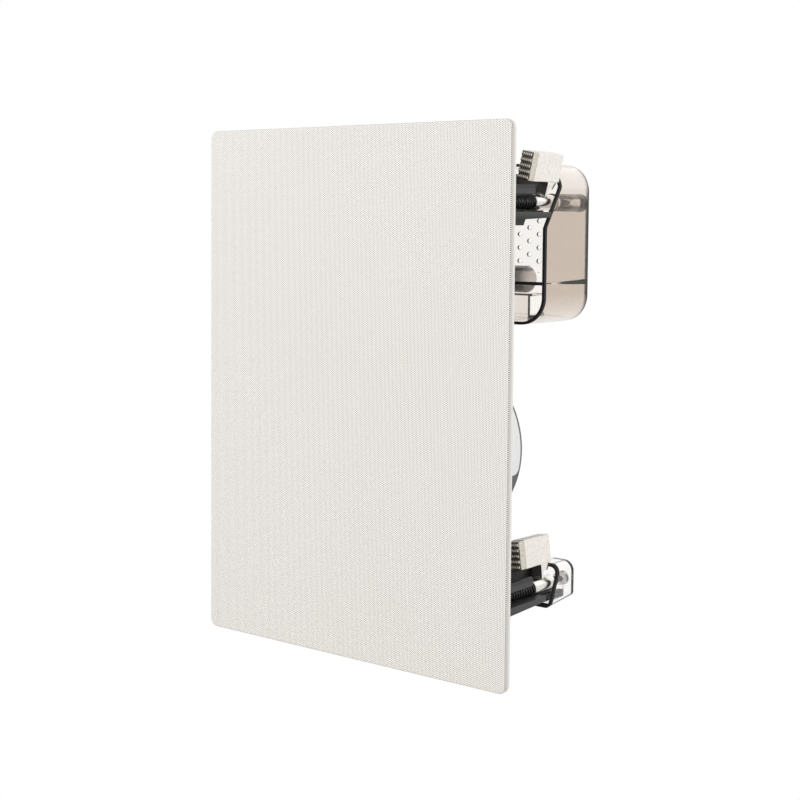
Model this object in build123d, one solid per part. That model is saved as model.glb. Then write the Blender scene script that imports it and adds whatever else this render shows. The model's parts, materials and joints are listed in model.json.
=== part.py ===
"""In-wall two-way loudspeaker with a press-on grille and four swing-out wall clamps.

Frame: millimetres, +X to the right seen from the room, +Y into the wall, +Z up.
The origin is the middle of the wall surface, so the flange bears on the plane Y = 0.
"""
import os
from math import cos, pi, sin

from build123d import *

# Grille pan
GRILLE_W = 220.0
GRILLE_SHEET = 0.8
GRILLE_CORNER = 5.0
GRILLE_EDGE = 1.3
GRILLE_STAND_OFF = 6.0
GRILLE_WALL_GAP = 1.7
GRILLE_FLANGE_GAP = 0.6

# Frame: flange on the wall, shallow tray and the baffle at its floor
FLANGE_T = 3.0
FLANGE_LAP_X = 11.0
FLANGE_LAP_Z = 12.0
CUT_OUT_GAP = 1.0
TRAY_WALL = 2.8
TRAY_CORNER = 10.0
HOLLOW_TOP_GAP = 11.2
HOLLOW_LOW_GAP = 17.2
BAFFLE_FRONT = 4.0
BAFFLE_T = 3.0
RIB_T = 2.5
RIB_H = 8.0
RIB_CLAMP_GAP = 18.5
RIB_POST_GAP = 10.0
RIB_END_Z = 126.0

# Grille magnets, pressed into pockets of the flange
MAGNET_R = 4.0
MAGNET_POCKET = 0.6
MAGNET_COLUMNS = (-1, 1)
MAGNET_ROWS = (-1, 0, 1)
MAGNET_PITCH_Z = 118.0

# Clamps
CLAMP_INSET = 9.5
CLAMP_UPPER_Z = 111.5
CLAMP_LOWER_Z = -110.5
SCREW_R = 2.0
SCREW_HEAD_R = 4.0
SCREW_HEAD_T = 2.6
RUN_FIT = 0.1
SLIM_GAP = 0.4
TOWER_BASE_T = 4.0
TOWER_IN = -12.5
TOWER_OUT = 8.6
TOWER_SPINE_T = 3.0
TOWER_SPINE_LENGTH = 45.0
TOWER_SPINE_TOP = 16.0
SPINE_TAIL_T = 1.2
SPINE_TAIL_BACK = 80.0
TOWER_BASE_HALF = 12.5
FLOOR_TOP = -5.5
FLOOR_BOTTOM = -10.5
FLOOR_TAPER = 1.8
FLOOR_LENGTH = 45.0
LOWER_FLOOR_LIFT = 1.9
CHANNEL_R = 5.1
GUIDE_IN = 5.8
GUIDE_OUT = 7.8
GUIDE_LOW = 4.2
GUIDE_TOP = 9.6
GUIDE_LENGTH = 29.0
LOWER_GUIDE_LENGTH = 32.0
GUIDE_EDGE = 0.85
GUSSET_RISE = 6.0
GUSSET_LENGTH = 14.0
FOOT_DROP = 2.6
FOOT_LENGTH = 23.0
TONGUE_T = 4.0
TONGUE_DROP = 1.8
TONGUE_HALF = 5.0
TONGUE_BACK = 80.0
BEARING_T = 2.4
BEARING_R = 4.0
BEARING_STRAP = 1.6
BEARING_BACK = 87.0
SCREW_TAIL = 0.2

# Clamp dogs
DOG_BARREL_R = 4.6
DOG_BARREL_LENGTH = 17.5
DOG_BARREL_TAIL = 3.0
DOG_BARREL_EDGE = 0.4
DOG_EDGE = 0.6
DOG_ARM_W = 6.4
DOG_BLOCK_W = 8.0
DOG_BLOCK_LOW = 12.4
DOG_BLOCK_TOP = 28.4
DOG_BLOCK_RISE = 0.6
DOG_BLOCK_LENGTH = 33.5
DOG_BLOCK_OVERHANG = 1.5
DOG_ARM_FRONT = 8.6
DOG_ARM_ROOT = 6.7
DOG_ARM_ROOT_T = 2.8
DOG_ARM_SUNK = 0.6
DOG_ARM_WEB = 2.2
DOG_ARM_WEB_LOW = 8.2
DOG_ARM_BACK = 0.8
DOG_RELIEF = 0.35
DOG_RELIEF_LENGTH = 5.0
TOOTH_ROWS = 5
TOOTH_COLUMNS = 6
TOOTH_H = 1.8
TOOTH_FLAT = 0.35
UPPER_DOG_Y = 48.0
LOWER_DOG_Y = 53.0
WASHER_T = 1.0
WASHER_R = 4.6
SPRING_WIRE_R = 0.45
SPRING_R = 3.55
SPRING_PITCH = 2.6

# Clear caps over the lower screw ends
CAP_WALL = 1.6
CAP_OUT = 7.5
CAP_IN = -11.0
CAP_TOP = 11.0
CAP_LOW_DROP = 3.1
CAP_ROUND = 6.0
CAP_SMALL_ROUND = 3.0
CAP_RIM_LOW_Y = 64.2
CAP_RIM_TOP_Y = 73.0
CAP_ROUGH_LENGTH = 10.0
SEAL_T = 2.1

# Clear rear cover over the crossover
COVER_INSET = 2.0
COVER_LOW_Z = 41.5
COVER_TOP_Z = 134.0
COVER_CORNER = 16.0
COVER_EDGE = 2.0
COVER_WALL = 1.6
COVER_BACK = 101.5
COVER_RIM_Y = 51.5
COVER_NOTCH_Y = 67.5
COVER_ROUGH_LENGTH = 5.0
COVER_SLANT_LOW_Z = 96.7
COVER_SLANT_TOP_Z = 120.7
COVER_NOTCH_GAP = 2.0
CROSSBAR_Z = 65.3
CROSSBAR_T = 1.8
CROSSBAR_DEPTH = 3.2
SIDE_RIB_FRONT = 60.0
SIDE_RIB_TIP = 0.6
SIDE_RIB_T = 2.8
SIDE_RIB_REACH = 3.0
SLEEVE_R = 5.2
SLEEVE_BORE_R = 3.8
SLEEVE_FRONT = 70.0
VENT_R = 1.4
VENT_PITCH = 8.1
VENT_COLUMN_STEP = 6.75
VENT_FIELD_REACH = 54.2
VENT_COLUMNS = 4
VENT_ROWS = 4
VENT_FIRST_Z = 72.5
COVER_BOSS_R = 5.2
COVER_BOSS_UPPER = (42.0, 125.0)
COVER_BOSS_LOWER = (11.0, 52.0)
COVER_SCREW_R = 1.5
COVER_SCREW_HEAD_R = 3.2
COVER_SCREW_HEAD_T = 2.2
COVER_SCREW_SINK = 3.2
COVER_SCREW_BITE = 5.0

# Terminal recess in the back of the cover
RECESS_X0 = 22.0
RECESS_X1 = 64.3
RECESS_LOW_Z = 44.7
RECESS_TOP_Z = 56.0
RECESS_FLOOR_Y = 86.0
TERMINAL_W = 25.0
TERMINAL_T = 7.0
TERMINAL_EDGE = 0.8
TERMINAL_MARGIN_X = 2.0
TERMINAL_MARGIN_Z = 1.0
BUTTON_W = 9.0
BUTTON_H = 4.0
BUTTON_GAP = 0.3
BUTTON_PROUD = 4.5
BUTTON_TRAVEL = 2.5
BUTTON_WELL = 5.5
BUTTON_EDGE = 1.0
WIRE_HOLE_R = 1.5

# Crossover carrier and board
CARRIER_CLAMP_GAP = 20.5
CARRIER_LOW_Z = 44.5
CARRIER_TOP_Z = 131.0
CARRIER_T = 3.0
CARRIER_CORNER = 8.0
CARRIER_POST_R = 5.0
CARRIER_POST_INSET = 12.0
CARRIER_POST_Z = (60.0, 118.0)
CARRIER_WINDOW_R = 15.0
CARRIER_BOSS_H = 6.0
CARRIER_POST_EDGE = 0.5
BOARD_INSET = 6.0
BOARD_LOW_Z = 59.5
BOARD_TOP_Z = 119.0
BOARD_Y = 69.0
BOARD_T = 1.6
BOARD_STUD_R = 3.0
BOARD_STUD_INSET = 12.0
CAPACITOR_R = 8.0
CAPACITOR_LENGTH = 38.0
CAPACITOR_OVERHANG = 3.5
CAPACITOR_LEFT_INSET = 12.0
CAPACITOR_HANG = 1.0
CAPACITOR_EDGE = 5.0
COIL_R = 17.0
COIL_BORE_R = 8.0
COIL_H = 14.0
COIL_Z = 101.5
RESISTOR_SIZE = (22.0, 9.0, 9.0)
RESISTOR_ROWS = (110.0, 96.0)
RESISTOR_EDGE = 0.6
# Clear board from end to end: before the first coil, between the coils, before and after the resistors
ROW_CLEAR = (11.0, 6.0, 12.0, 5.0)

# Woofer
WOOFER_FLANGE_R = 84.0
WOOFER_FLANGE_T = 3.0
WOOFER_THROAT_R = 72.0
WOOFER_HOLE_R = 76.5
BASKET_WALL = 2.5
BASKET_SEAT_Y = 48.0
BASKET_SEAT_R = 46.0
BASKET_SEAT_T = 3.0
BASKET_LEGS = 8
BASKET_LEG_W = 24.0
SPIDER_LEDGE_R = 45.0
SPIDER_Y = 38.0
SPIDER_T = 0.6
SPIDER_WAVES = 4
SPIDER_WAVE_H = 1.6
SPIDER_FLAT = 3.0
COIL_FORMER_R = 19.4
COIL_FORMER_T = 0.4
COIL_FORMER_FRONT = 27.0
COIL_FORMER_BACK = 61.0
COIL_WINDING_T = 0.7
COIL_WINDING_LENGTH = 12.0
CONE_T = 0.7
CONE_RIM_R = 61.0
CONE_RIM_Y = 2.2
CONE_BOW = 2.2
DUST_CAP_R = 24.0
DUST_CAP_RISE = 8.0
SURROUND_T = 0.8
SURROUND_ROLL_R = 5.0
TOP_PLATE_T = 6.0
GAP_R = 21.3
POLE_R = 18.7
FERRITE_R = 50.0
FERRITE_BORE_R = 25.0
FERRITE_T = 18.0
FERRITE_EDGE = 0.8
YOKE_R = 46.0
YOKE_T = 6.0
CAN_R = 57.0
CAN_WALL = 1.5
CAN_BACK = 93.4
CAN_LENGTH = 33.9
CAN_EDGE = 1.5
LABEL_T = 0.15
GLUE_T = 0.03
LABEL_SPAN = 84.0
LABEL_LOW_END = 30.0
LABEL_CORNER = 4.0
LABEL_MARGIN = 3.0
WOOFER_SCREWS = 8
WOOFER_SCREW_CIRCLE = 79.5
GASKET_T = 0.8

# Tweeter
TWEETER_R = 40.0
DRIVER_GAP = 2.0
TWEETER_T = 3.0
TWEETER_THROAT_R = 15.0
TWEETER_MOUTH_R = 30.0
TWEETER_DISH = 1.8
TWEETER_HOLE_R = 29.0
TWEETER_CUP_R = 27.0
TWEETER_CUP_BACK = 27.0
TWEETER_CUP_EDGE = 2.0
DOME_R = 12.7
DOME_RISE = 4.0
DOME_T = 0.4
TWEETER_SCREWS = 4
TWEETER_SCREW_CIRCLE = 35.5

# Allowances for joining shapes and for cutting right through them
JOIN = 0.5
CUT_PAST = 1.0
TOOTH_CUT_PAST = 0.01
HEAD_ROUND = 0.4

# Small screws that hold drivers, towers and carrier
SMALL_SCREW_R = 1.3
SMALL_HEAD_R = 2.8
SMALL_HEAD_T = 1.8
SMALL_SCREW_BITE = 7.0
SMALL_HOLE_GAP = 0.05
TOWER_SCREW_PLACES = ((-9.0, 9.0), (-9.0, -9.0))

# Values that follow from the sizes above
BAFFLE_BACK = BAFFLE_FRONT + BAFFLE_T
GRILLE_BACK = -GRILLE_STAND_OFF + GRILLE_SHEET
CUT_OUT_W = GRILLE_W - 2 * FLANGE_LAP_X
TRAY_W = CUT_OUT_W - 2 * CUT_OUT_GAP
DRIVER_STACK_H = 2 * WOOFER_FLANGE_R + DRIVER_GAP + 2 * TWEETER_R
TRAY_H = 2 * TRAY_WALL + HOLLOW_LOW_GAP + DRIVER_STACK_H + HOLLOW_TOP_GAP
CUT_OUT_H = TRAY_H + 2 * CUT_OUT_GAP
GRILLE_H = CUT_OUT_H + 2 * FLANGE_LAP_Z
FLANGE_INSET = GRILLE_SHEET + GRILLE_FLANGE_GAP
FLANGE_W = GRILLE_W - 2 * FLANGE_INSET
FLANGE_H = GRILLE_H - 2 * FLANGE_INSET
CLAMP_X = TRAY_W / 2 - CLAMP_INSET
RIB_REACH_X = CLAMP_X - RIB_CLAMP_GAP
TOWER_FRONT = BAFFLE_BACK
TOWER_BASE_BACK = TOWER_FRONT + TOWER_BASE_T
SPRING_FRONT = TOWER_BASE_BACK
FLOOR_END = TOWER_BASE_BACK + FLOOR_LENGTH
TONGUE_BOTTOM = FLOOR_BOTTOM + FLOOR_TAPER + LOWER_FLOOR_LIFT - TONGUE_DROP
BEARING_FRONT = BEARING_BACK - BEARING_T
CARRIER_HALF_W = CLAMP_X - CARRIER_CLAMP_GAP
CARRIER_POST_X = CARRIER_HALF_W - CARRIER_POST_INSET
RIB_SIDE_X = CARRIER_POST_X + RIB_POST_GAP
BOARD_HALF_W = CARRIER_HALF_W - BOARD_INSET
CAPACITOR_ENDS_X = CARRIER_HALF_W + CAPACITOR_OVERHANG
COVER_W = TRAY_W - 2 * COVER_INSET
COVER_LEFT_NOTCH_X = -CARRIER_HALF_W - COVER_NOTCH_GAP
VENT_FIRST_X = COVER_W / 2 - VENT_FIELD_REACH
COVER_INNER_BACK = COVER_BACK - COVER_WALL
COVER_MID_Z = (COVER_LOW_Z + COVER_TOP_Z) / 2
COVER_H = COVER_TOP_Z - COVER_LOW_Z
CARRIER_BACK = COVER_RIM_Y - SLIM_GAP
CARRIER_FRONT = CARRIER_BACK - CARRIER_T
DRIVER_FRONT = BAFFLE_FRONT - WOOFER_FLANGE_T
WOOFER_Z = TRAY_WALL + HOLLOW_LOW_GAP + WOOFER_FLANGE_R - TRAY_H / 2
TWEETER_Z = WOOFER_Z + WOOFER_FLANGE_R + TWEETER_R + DRIVER_GAP
TOP_PLATE_BACK = BASKET_SEAT_Y + BASKET_SEAT_T + TOP_PLATE_T
FERRITE_BACK = TOP_PLATE_BACK + FERRITE_T
YOKE_BACK = FERRITE_BACK + YOKE_T
CAN_FRONT = CAN_BACK - CAN_LENGTH

# Each clamp: name, side (+1 right, -1 left), axis height, barrel front, resting swing in degrees
CLAMPS = (
    ("upper_right", 1, CLAMP_UPPER_Z, UPPER_DOG_Y, 12.0),
    ("lower_right", 1, CLAMP_LOWER_Z, LOWER_DOG_Y, -7.6),
    ("upper_left", -1, CLAMP_UPPER_Z, UPPER_DOG_Y, 0.0),
    ("lower_left", -1, CLAMP_LOWER_Z, LOWER_DOG_Y, 0.0),
)


def slab(x0, x1, y0, y1, z0, z1):
    """A box given by its faces."""
    middle = Pos((x0 + x1) / 2, (y0 + y1) / 2, (z0 + z1) / 2)
    return middle * Box(x1 - x0, y1 - y0, z1 - z0)


def disc(radius, y0, y1, x=0.0, z=0.0):
    """A round bar along Y."""
    return Pos(x, (y0 + y1) / 2, z) * Rot(90, 0, 0) * Cylinder(radius, y1 - y0)


def ring(outer, inner, y0, y1, x=0.0, z=0.0):
    """A round tube along Y."""
    return disc(outer, y0, y1, x, z) - disc(inner, y0 - CUT_PAST, y1 + CUT_PAST, x, z)


def rounded_slab(width, height, radius, y0, y1, x=0.0, z=0.0):
    """A plate in the wall's plane with rounded corners."""
    plane = Plane(origin=(x, y1, z), x_dir=(1, 0, 0), z_dir=(0, -1, 0))
    return extrude(plane * RectangleRounded(width, height, radius), y1 - y0)


def turned(points, x=0.0, z=0.0):
    """A body turned about the Y direction from (radius, y) points."""
    outline = Polyline(*[(radius, y, 0) for radius, y in points], close=True)
    return Pos(x, 0, z) * revolve(make_face(outline), Axis.Y)


def side_prism(points, x0, x1):
    """A (y, z) outline drawn out along X."""
    outline = Plane.YZ.offset(x0) * make_face(Polyline(*points, close=True))
    return extrude(outline, x1 - x0)


def circle_places(count, radius, start=0.0):
    """Points evenly spaced on a circle, as (x, z)."""
    turn = 2 * pi / count
    return [(radius * cos(start + i * turn), radius * sin(start + i * turn)) for i in range(count)]


def at_clamp(shape, side, height):
    """Move a shape from the clamp's own axis to its place; the left ones are turned half round."""
    turn = 0 if side > 0 else 180
    return Pos(side * CLAMP_X, 0, height) * Rot(0, turn, 0) * shape


def clamp_point(side, height, u, w):
    """Where a point beside the clamp axis lies in the frame."""
    return side * (CLAMP_X + u), height + side * w


def small_screw(x, z, seat_y):
    """A pan-head self-tapping screw, head towards the room."""
    head = disc(SMALL_HEAD_R, seat_y - SMALL_HEAD_T, seat_y, x, z)
    head = fillet(head.edges().group_by(Axis.Y)[0], SMALL_HEAD_T * HEAD_ROUND)
    return head + disc(SMALL_SCREW_R, seat_y - JOIN, seat_y + BAFFLE_T + SMALL_SCREW_BITE, x, z)


def small_hole(x, z, y0, y1):
    """The clearance that a small screw passes through."""
    return disc(SMALL_SCREW_R + SMALL_HOLE_GAP, y0, y1, x, z)


def magnet_places():
    """Six places on the flange, three down each side."""
    column = (FLANGE_W / 2 + TRAY_W / 2) / 2
    return [(i * column, k * MAGNET_PITCH_Z) for i in MAGNET_COLUMNS for k in MAGNET_ROWS]


def tower_screw_points():
    """All places where a small screw ties a tower to the baffle."""
    places = []
    for name, side, height, dog_y, swing in CLAMPS:
        places += [clamp_point(side, height, u, w) for u, w in TOWER_SCREW_PLACES]
    return places


def carrier_post_points():
    """Feet of the four crossover carrier posts."""
    return [(i * CARRIER_POST_X, z) for i in (-1, 1) for z in CARRIER_POST_Z]


def woofer_screw_points():
    start = pi / WOOFER_SCREWS
    return [(x, WOOFER_Z + z) for x, z in circle_places(WOOFER_SCREWS, WOOFER_SCREW_CIRCLE, start)]


def tweeter_screw_points():
    places = circle_places(TWEETER_SCREWS, TWEETER_SCREW_CIRCLE, pi / TWEETER_SCREWS)
    return [(x, TWEETER_Z + z) for x, z in places]


def grille():
    """Folded steel pan, open towards the wall."""
    back = -GRILLE_WALL_GAP
    pan = rounded_slab(GRILLE_W, GRILLE_H, GRILLE_CORNER, -GRILLE_STAND_OFF, back)
    pan = fillet(pan.edges().group_by(Axis.Y)[0], GRILLE_EDGE)
    inner_w = GRILLE_W - 2 * GRILLE_SHEET
    inner_h = GRILLE_H - 2 * GRILLE_SHEET
    inside = rounded_slab(inner_w, inner_h, GRILLE_CORNER - GRILLE_SHEET, GRILLE_BACK, back + CUT_PAST)
    inside = fillet(inside.edges().group_by(Axis.Y)[0], GRILLE_EDGE - GRILLE_SHEET)
    return pan - inside


def grille_magnets():
    """Discs that hold the grille."""
    return [disc(MAGNET_R, GRILLE_BACK, MAGNET_POCKET - FLANGE_T, x, z) for x, z in magnet_places()]


def frame():
    """Flange, tray and baffle in one moulding."""
    flange_corner = GRILLE_CORNER - FLANGE_INSET
    body = rounded_slab(FLANGE_W, FLANGE_H, flange_corner, -FLANGE_T, 0)
    body += rounded_slab(TRAY_W, TRAY_H, TRAY_CORNER, -FLANGE_T, BAFFLE_BACK)
    hollow_w = TRAY_W - 2 * TRAY_WALL
    hollow_h = TRAY_H - 2 * TRAY_WALL
    body -= rounded_slab(hollow_w, hollow_h, TRAY_CORNER - TRAY_WALL, -FLANGE_T - CUT_PAST, BAFFLE_FRONT)
    rib_back = BAFFLE_BACK + RIB_H
    bridge_z = (WOOFER_Z + WOOFER_HOLE_R + TWEETER_Z - TWEETER_HOLE_R) / 2
    for z in (-RIB_END_Z, bridge_z, RIB_END_Z):
        body += slab(-RIB_REACH_X, RIB_REACH_X, BAFFLE_BACK, rib_back, z - RIB_T / 2, z + RIB_T / 2)
    for x in (-RIB_SIDE_X, RIB_SIDE_X):
        body += slab(x - RIB_T / 2, x + RIB_T / 2, BAFFLE_BACK, rib_back, bridge_z, RIB_END_Z)
    body -= disc(WOOFER_HOLE_R, 0, rib_back, 0, WOOFER_Z)
    body -= disc(TWEETER_HOLE_R, 0, rib_back, 0, TWEETER_Z)
    for x, z in magnet_places():
        body -= disc(MAGNET_R + SMALL_HOLE_GAP, -FLANGE_T - CUT_PAST, MAGNET_POCKET - FLANGE_T, x, z)
    for name, side, height, dog_y, swing in CLAMPS:
        body -= disc(SCREW_R + RUN_FIT, 0, rib_back, side * CLAMP_X, height)
    tapped = tower_screw_points() + carrier_post_points()
    tapped += woofer_screw_points() + tweeter_screw_points()
    for x, z in tapped:
        body -= small_hole(x, z, 0, rib_back)
    return body


def clamp_tower(lower):
    """Black guide on the clamp axis: base, spine, channelled floor rail and guide finger."""
    base_back = TOWER_BASE_BACK
    lift = LOWER_FLOOR_LIFT if lower else 0.0
    floor_top = FLOOR_TOP + lift
    floor_bottom = FLOOR_BOTTOM + lift
    spine_low = floor_bottom + FLOOR_TAPER
    spine_in = TOWER_IN + TOWER_SPINE_T
    spine_end = base_back + TOWER_SPINE_LENGTH
    body = slab(TOWER_IN, TOWER_OUT, TOWER_FRONT, base_back, -TOWER_BASE_HALF, TOWER_BASE_HALF)
    body += slab(TOWER_IN, spine_in, TOWER_FRONT, spine_end, spine_low, TOWER_SPINE_TOP)
    body += slab(TOWER_IN, TOWER_IN + SPINE_TAIL_T, spine_end - JOIN, SPINE_TAIL_BACK, spine_low, TOWER_SPINE_TOP)
    gusset_top = TOWER_SPINE_TOP + GUSSET_RISE
    gusset = [
        (TOWER_FRONT, TOWER_SPINE_TOP),
        (TOWER_FRONT, gusset_top),
        (base_back + GUSSET_LENGTH / 2, gusset_top),
        (base_back + GUSSET_LENGTH, TOWER_SPINE_TOP),
    ]
    body += side_prism(gusset, TOWER_IN, spine_in)
    floor = [
        (TOWER_FRONT, floor_top),
        (TOWER_FRONT, floor_bottom),
        (FLOOR_END, floor_bottom + FLOOR_TAPER),
        (FLOOR_END, floor_top),
    ]
    body += side_prism(floor, TOWER_IN, TOWER_OUT)
    guide_end = base_back + (LOWER_GUIDE_LENGTH if lower else GUIDE_LENGTH)
    guide = slab(GUIDE_IN, GUIDE_OUT, TOWER_FRONT, guide_end, GUIDE_LOW, GUIDE_TOP)
    body += fillet(guide.edges().filter_by(Axis.Y).group_by(Axis.X)[-1], GUIDE_EDGE)
    if lower:
        body += slab(-TONGUE_HALF, TONGUE_HALF, FLOOR_END - TONGUE_T, TONGUE_BACK,
                     TONGUE_BOTTOM, TONGUE_BOTTOM + TONGUE_T)
    else:
        foot = [
            (TOWER_FRONT, floor_bottom + FLOOR_TAPER),
            (TOWER_FRONT, floor_bottom - FOOT_DROP),
            (base_back + FOOT_LENGTH - FOOT_DROP, floor_bottom - FOOT_DROP),
            (base_back + FOOT_LENGTH, floor_bottom + FLOOR_TAPER),
        ]
        body += side_prism(foot, TOWER_IN, GUIDE_IN)
    body -= disc(CHANNEL_R, base_back, TONGUE_BACK + CUT_PAST)
    body -= disc(SCREW_R + RUN_FIT, 0, base_back + CUT_PAST)
    for u, w in TOWER_SCREW_PLACES:
        body -= small_hole(u, w, 0, BAFFLE_FRONT + BAFFLE_T + SMALL_SCREW_BITE + SLIM_GAP)
    return body


def clamp_screw():
    """Long clamp screw with a pan head in the tray and a plain tail in its bearing."""
    head = disc(SCREW_HEAD_R, BAFFLE_FRONT - SCREW_HEAD_T, BAFFLE_FRONT)
    head = fillet(head.edges().group_by(Axis.Y)[0], SCREW_HEAD_T * HEAD_ROUND)
    return head + disc(SCREW_R, BAFFLE_FRONT - JOIN, BEARING_BACK - SCREW_TAIL)


def clamp_washer(dog_y):
    """Thrust washer between spring and barrel."""
    return ring(WASHER_R, SCREW_R + RUN_FIT, dog_y - WASHER_T, dog_y)


def clamp_spring(dog_y):
    """Coil spring from the tower's base to the washer."""
    length = dog_y - WASHER_T - SPRING_FRONT - 2 * (SPRING_WIRE_R + RUN_FIT)
    turns = round(length / SPRING_PITCH)
    line = Helix(pitch=length / turns, height=length, radius=SPRING_R)
    start = Plane(origin=line @ 0, z_dir=line % 0)
    coil = sweep(start * Circle(SPRING_WIRE_R), path=line, is_frenet=True)
    return Pos(0, SPRING_FRONT + SPRING_WIRE_R + RUN_FIT, 0) * Rot(-90, 0, 0) * coil


def dog_teeth(front, low, width, height):
    """Rows of blunt wedge teeth cut in a pad on the block's front face."""
    pad = slab(-width / 2, width / 2, front, front + TOOTH_H, low, low + height)
    lip = front - TOOTH_CUT_PAST
    step_z = height / TOOTH_ROWS
    step_x = width / TOOTH_COLUMNS
    notch_z = (step_z - TOOTH_FLAT) / 2
    notch_x = (step_x - TOOTH_FLAT) / 2
    for row in range(TOOTH_ROWS + 1):
        z = low + row * step_z
        notch = [(lip, z - notch_z), (lip, z + notch_z), (front + TOOTH_H, z)]
        pad -= side_prism(notch, -width, width)
    for column in range(TOOTH_COLUMNS + 1):
        x = -width / 2 + column * step_x
        plane = Plane(origin=(0, 0, low - CUT_PAST), x_dir=(1, 0, 0), z_dir=(0, 0, 1))
        corners = [(x - notch_x, lip), (x + notch_x, lip), (x, front + TOOTH_H)]
        pad -= extrude(plane * make_face(Polyline(*corners, close=True)), height + 2 * CUT_PAST)
    return pad


def clamp_dog(dog_y):
    """Die-cast dog: bored barrel, tapering arm and a long toothed block."""
    barrel_back = dog_y + DOG_BARREL_LENGTH
    block_back = barrel_back + DOG_BLOCK_OVERHANG
    block_front = block_back - DOG_BLOCK_LENGTH
    half = DOG_BLOCK_W / 2
    body_front = block_front + TOOTH_H
    relief_back = body_front + DOG_RELIEF_LENGTH
    front_top = DOG_BLOCK_TOP + DOG_BLOCK_RISE
    block = [
        (relief_back, DOG_BLOCK_LOW),
        (block_back, DOG_BLOCK_LOW),
        (block_back, DOG_BLOCK_TOP),
        (relief_back, front_top),
    ]
    body = side_prism(block, -half, half)
    long_edges = [edge for edge in body.edges() if abs((edge @ 1 - edge @ 0).Y) > DOG_BLOCK_W]
    body = fillet(long_edges, DOG_EDGE)
    slim = half - DOG_RELIEF
    low = DOG_BLOCK_LOW + DOG_RELIEF
    tooth_height = front_top - DOG_RELIEF - low
    body += slab(-slim, slim, body_front, relief_back, low, low + tooth_height)
    body += dog_teeth(block_front, low, 2 * slim, tooth_height)
    sunk = DOG_BARREL_R * DOG_ARM_SUNK
    arm = [
        (barrel_back - DOG_ARM_ROOT - DOG_ARM_ROOT_T, sunk),
        (barrel_back - DOG_ARM_FRONT, DOG_BLOCK_LOW + JOIN),
        (block_back - DOG_ARM_BACK, DOG_BLOCK_LOW + JOIN),
        (block_back - DOG_ARM_BACK, DOG_BLOCK_LOW),
        (barrel_back - DOG_ARM_WEB, DOG_ARM_WEB_LOW),
        (barrel_back - DOG_ARM_ROOT, DOG_ARM_WEB_LOW),
        (barrel_back - DOG_ARM_ROOT, sunk),
    ]
    body += side_prism(arm, -DOG_ARM_W / 2, DOG_ARM_W / 2)
    tail_back = barrel_back + DOG_BARREL_TAIL
    barrel = disc(DOG_BARREL_R, dog_y, tail_back)
    barrel = chamfer(barrel.edges(), DOG_BARREL_EDGE)
    return body + barrel - disc(SCREW_R + RUN_FIT, dog_y - CUT_PAST, tail_back + CUT_PAST)


def cap_rim(step):
    """The space in front of the cap's slanting rim, moved back by a step."""
    low = TONGUE_BOTTOM + TONGUE_DROP - CAP_WALL
    slope = (CAP_RIM_TOP_Y - CAP_RIM_LOW_Y) / (CAP_TOP - low)
    reach = 8.0
    outline = [
        (0, low - reach),
        (CAP_RIM_LOW_Y - slope * reach + step, low - reach),
        (CAP_RIM_TOP_Y + slope * reach + step, CAP_TOP + reach),
        (0, CAP_TOP + reach),
    ]
    return side_prism(outline, CAP_IN - reach, CAP_OUT + reach)


def cap_block(inset, front):
    """The cap's rounded box, deeper towards its rim; the inset gives the space inside it."""
    low = TONGUE_BOTTOM - CAP_WALL + inset
    back = BEARING_BACK + SLIM_GAP + CAP_WALL - inset
    outline = [
        (front, low - CAP_LOW_DROP),
        (back, low),
        (back, CAP_TOP - inset),
        (front, CAP_TOP - inset),
    ]
    box = side_prism(outline, CAP_IN + inset, CAP_OUT - inset)
    box = fillet(box.edges().filter_by(Axis.Y).group_by(Axis.Z)[-1], CAP_ROUND - inset)
    low_edges = [edge for edge in box.edges()
                 if abs((edge @ 1 - edge @ 0).Y) > CAP_ROUGH_LENGTH and edge.center().Z < 0]
    return fillet(low_edges, CAP_SMALL_ROUND - inset)


def clamp_cap_shell():
    """Clear box over the screw's end, before its rim is cut."""
    front = CAP_RIM_LOW_Y - CAP_ROUGH_LENGTH
    return cap_block(0.0, front) - cap_block(CAP_WALL, front - CUT_PAST)


def clamp_cap():
    """Clear cap with the bearing for the screw's tail on a narrow rib."""
    body = clamp_cap_shell() - cap_rim(SEAL_T)
    wall_middle = BEARING_BACK + SLIM_GAP + CAP_WALL / 2
    half = BEARING_STRAP / 2
    body += slab(-half, half, BEARING_FRONT, wall_middle, TONGUE_BOTTOM - CAP_WALL / 2, 0)
    body += disc(BEARING_R, BEARING_FRONT, wall_middle)
    return body - disc(SCREW_R + RUN_FIT, BEARING_FRONT - CUT_PAST, BEARING_BACK)


def clamp_cap_seal():
    return clamp_cap_shell() & (cap_rim(SEAL_T) - cap_rim(0))


def cover_front(step):
    """The space in front of the rear cover's rim, moved back by a step."""
    reach = 20.0
    low = COVER_LOW_Z - reach
    top = COVER_TOP_Z + reach
    side = COVER_W / 2 + reach
    outline = [
        (0, low),
        (COVER_RIM_Y + step, low),
        (COVER_RIM_Y + step, COVER_SLANT_LOW_Z),
        (COVER_NOTCH_Y + step, COVER_SLANT_TOP_Z),
        (COVER_NOTCH_Y + step, top),
        (0, top),
    ]
    left = slab(-side, COVER_LEFT_NOTCH_X + step, 0, COVER_NOTCH_Y + step, low, top)
    return side_prism(outline, -side, side) + left


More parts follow.
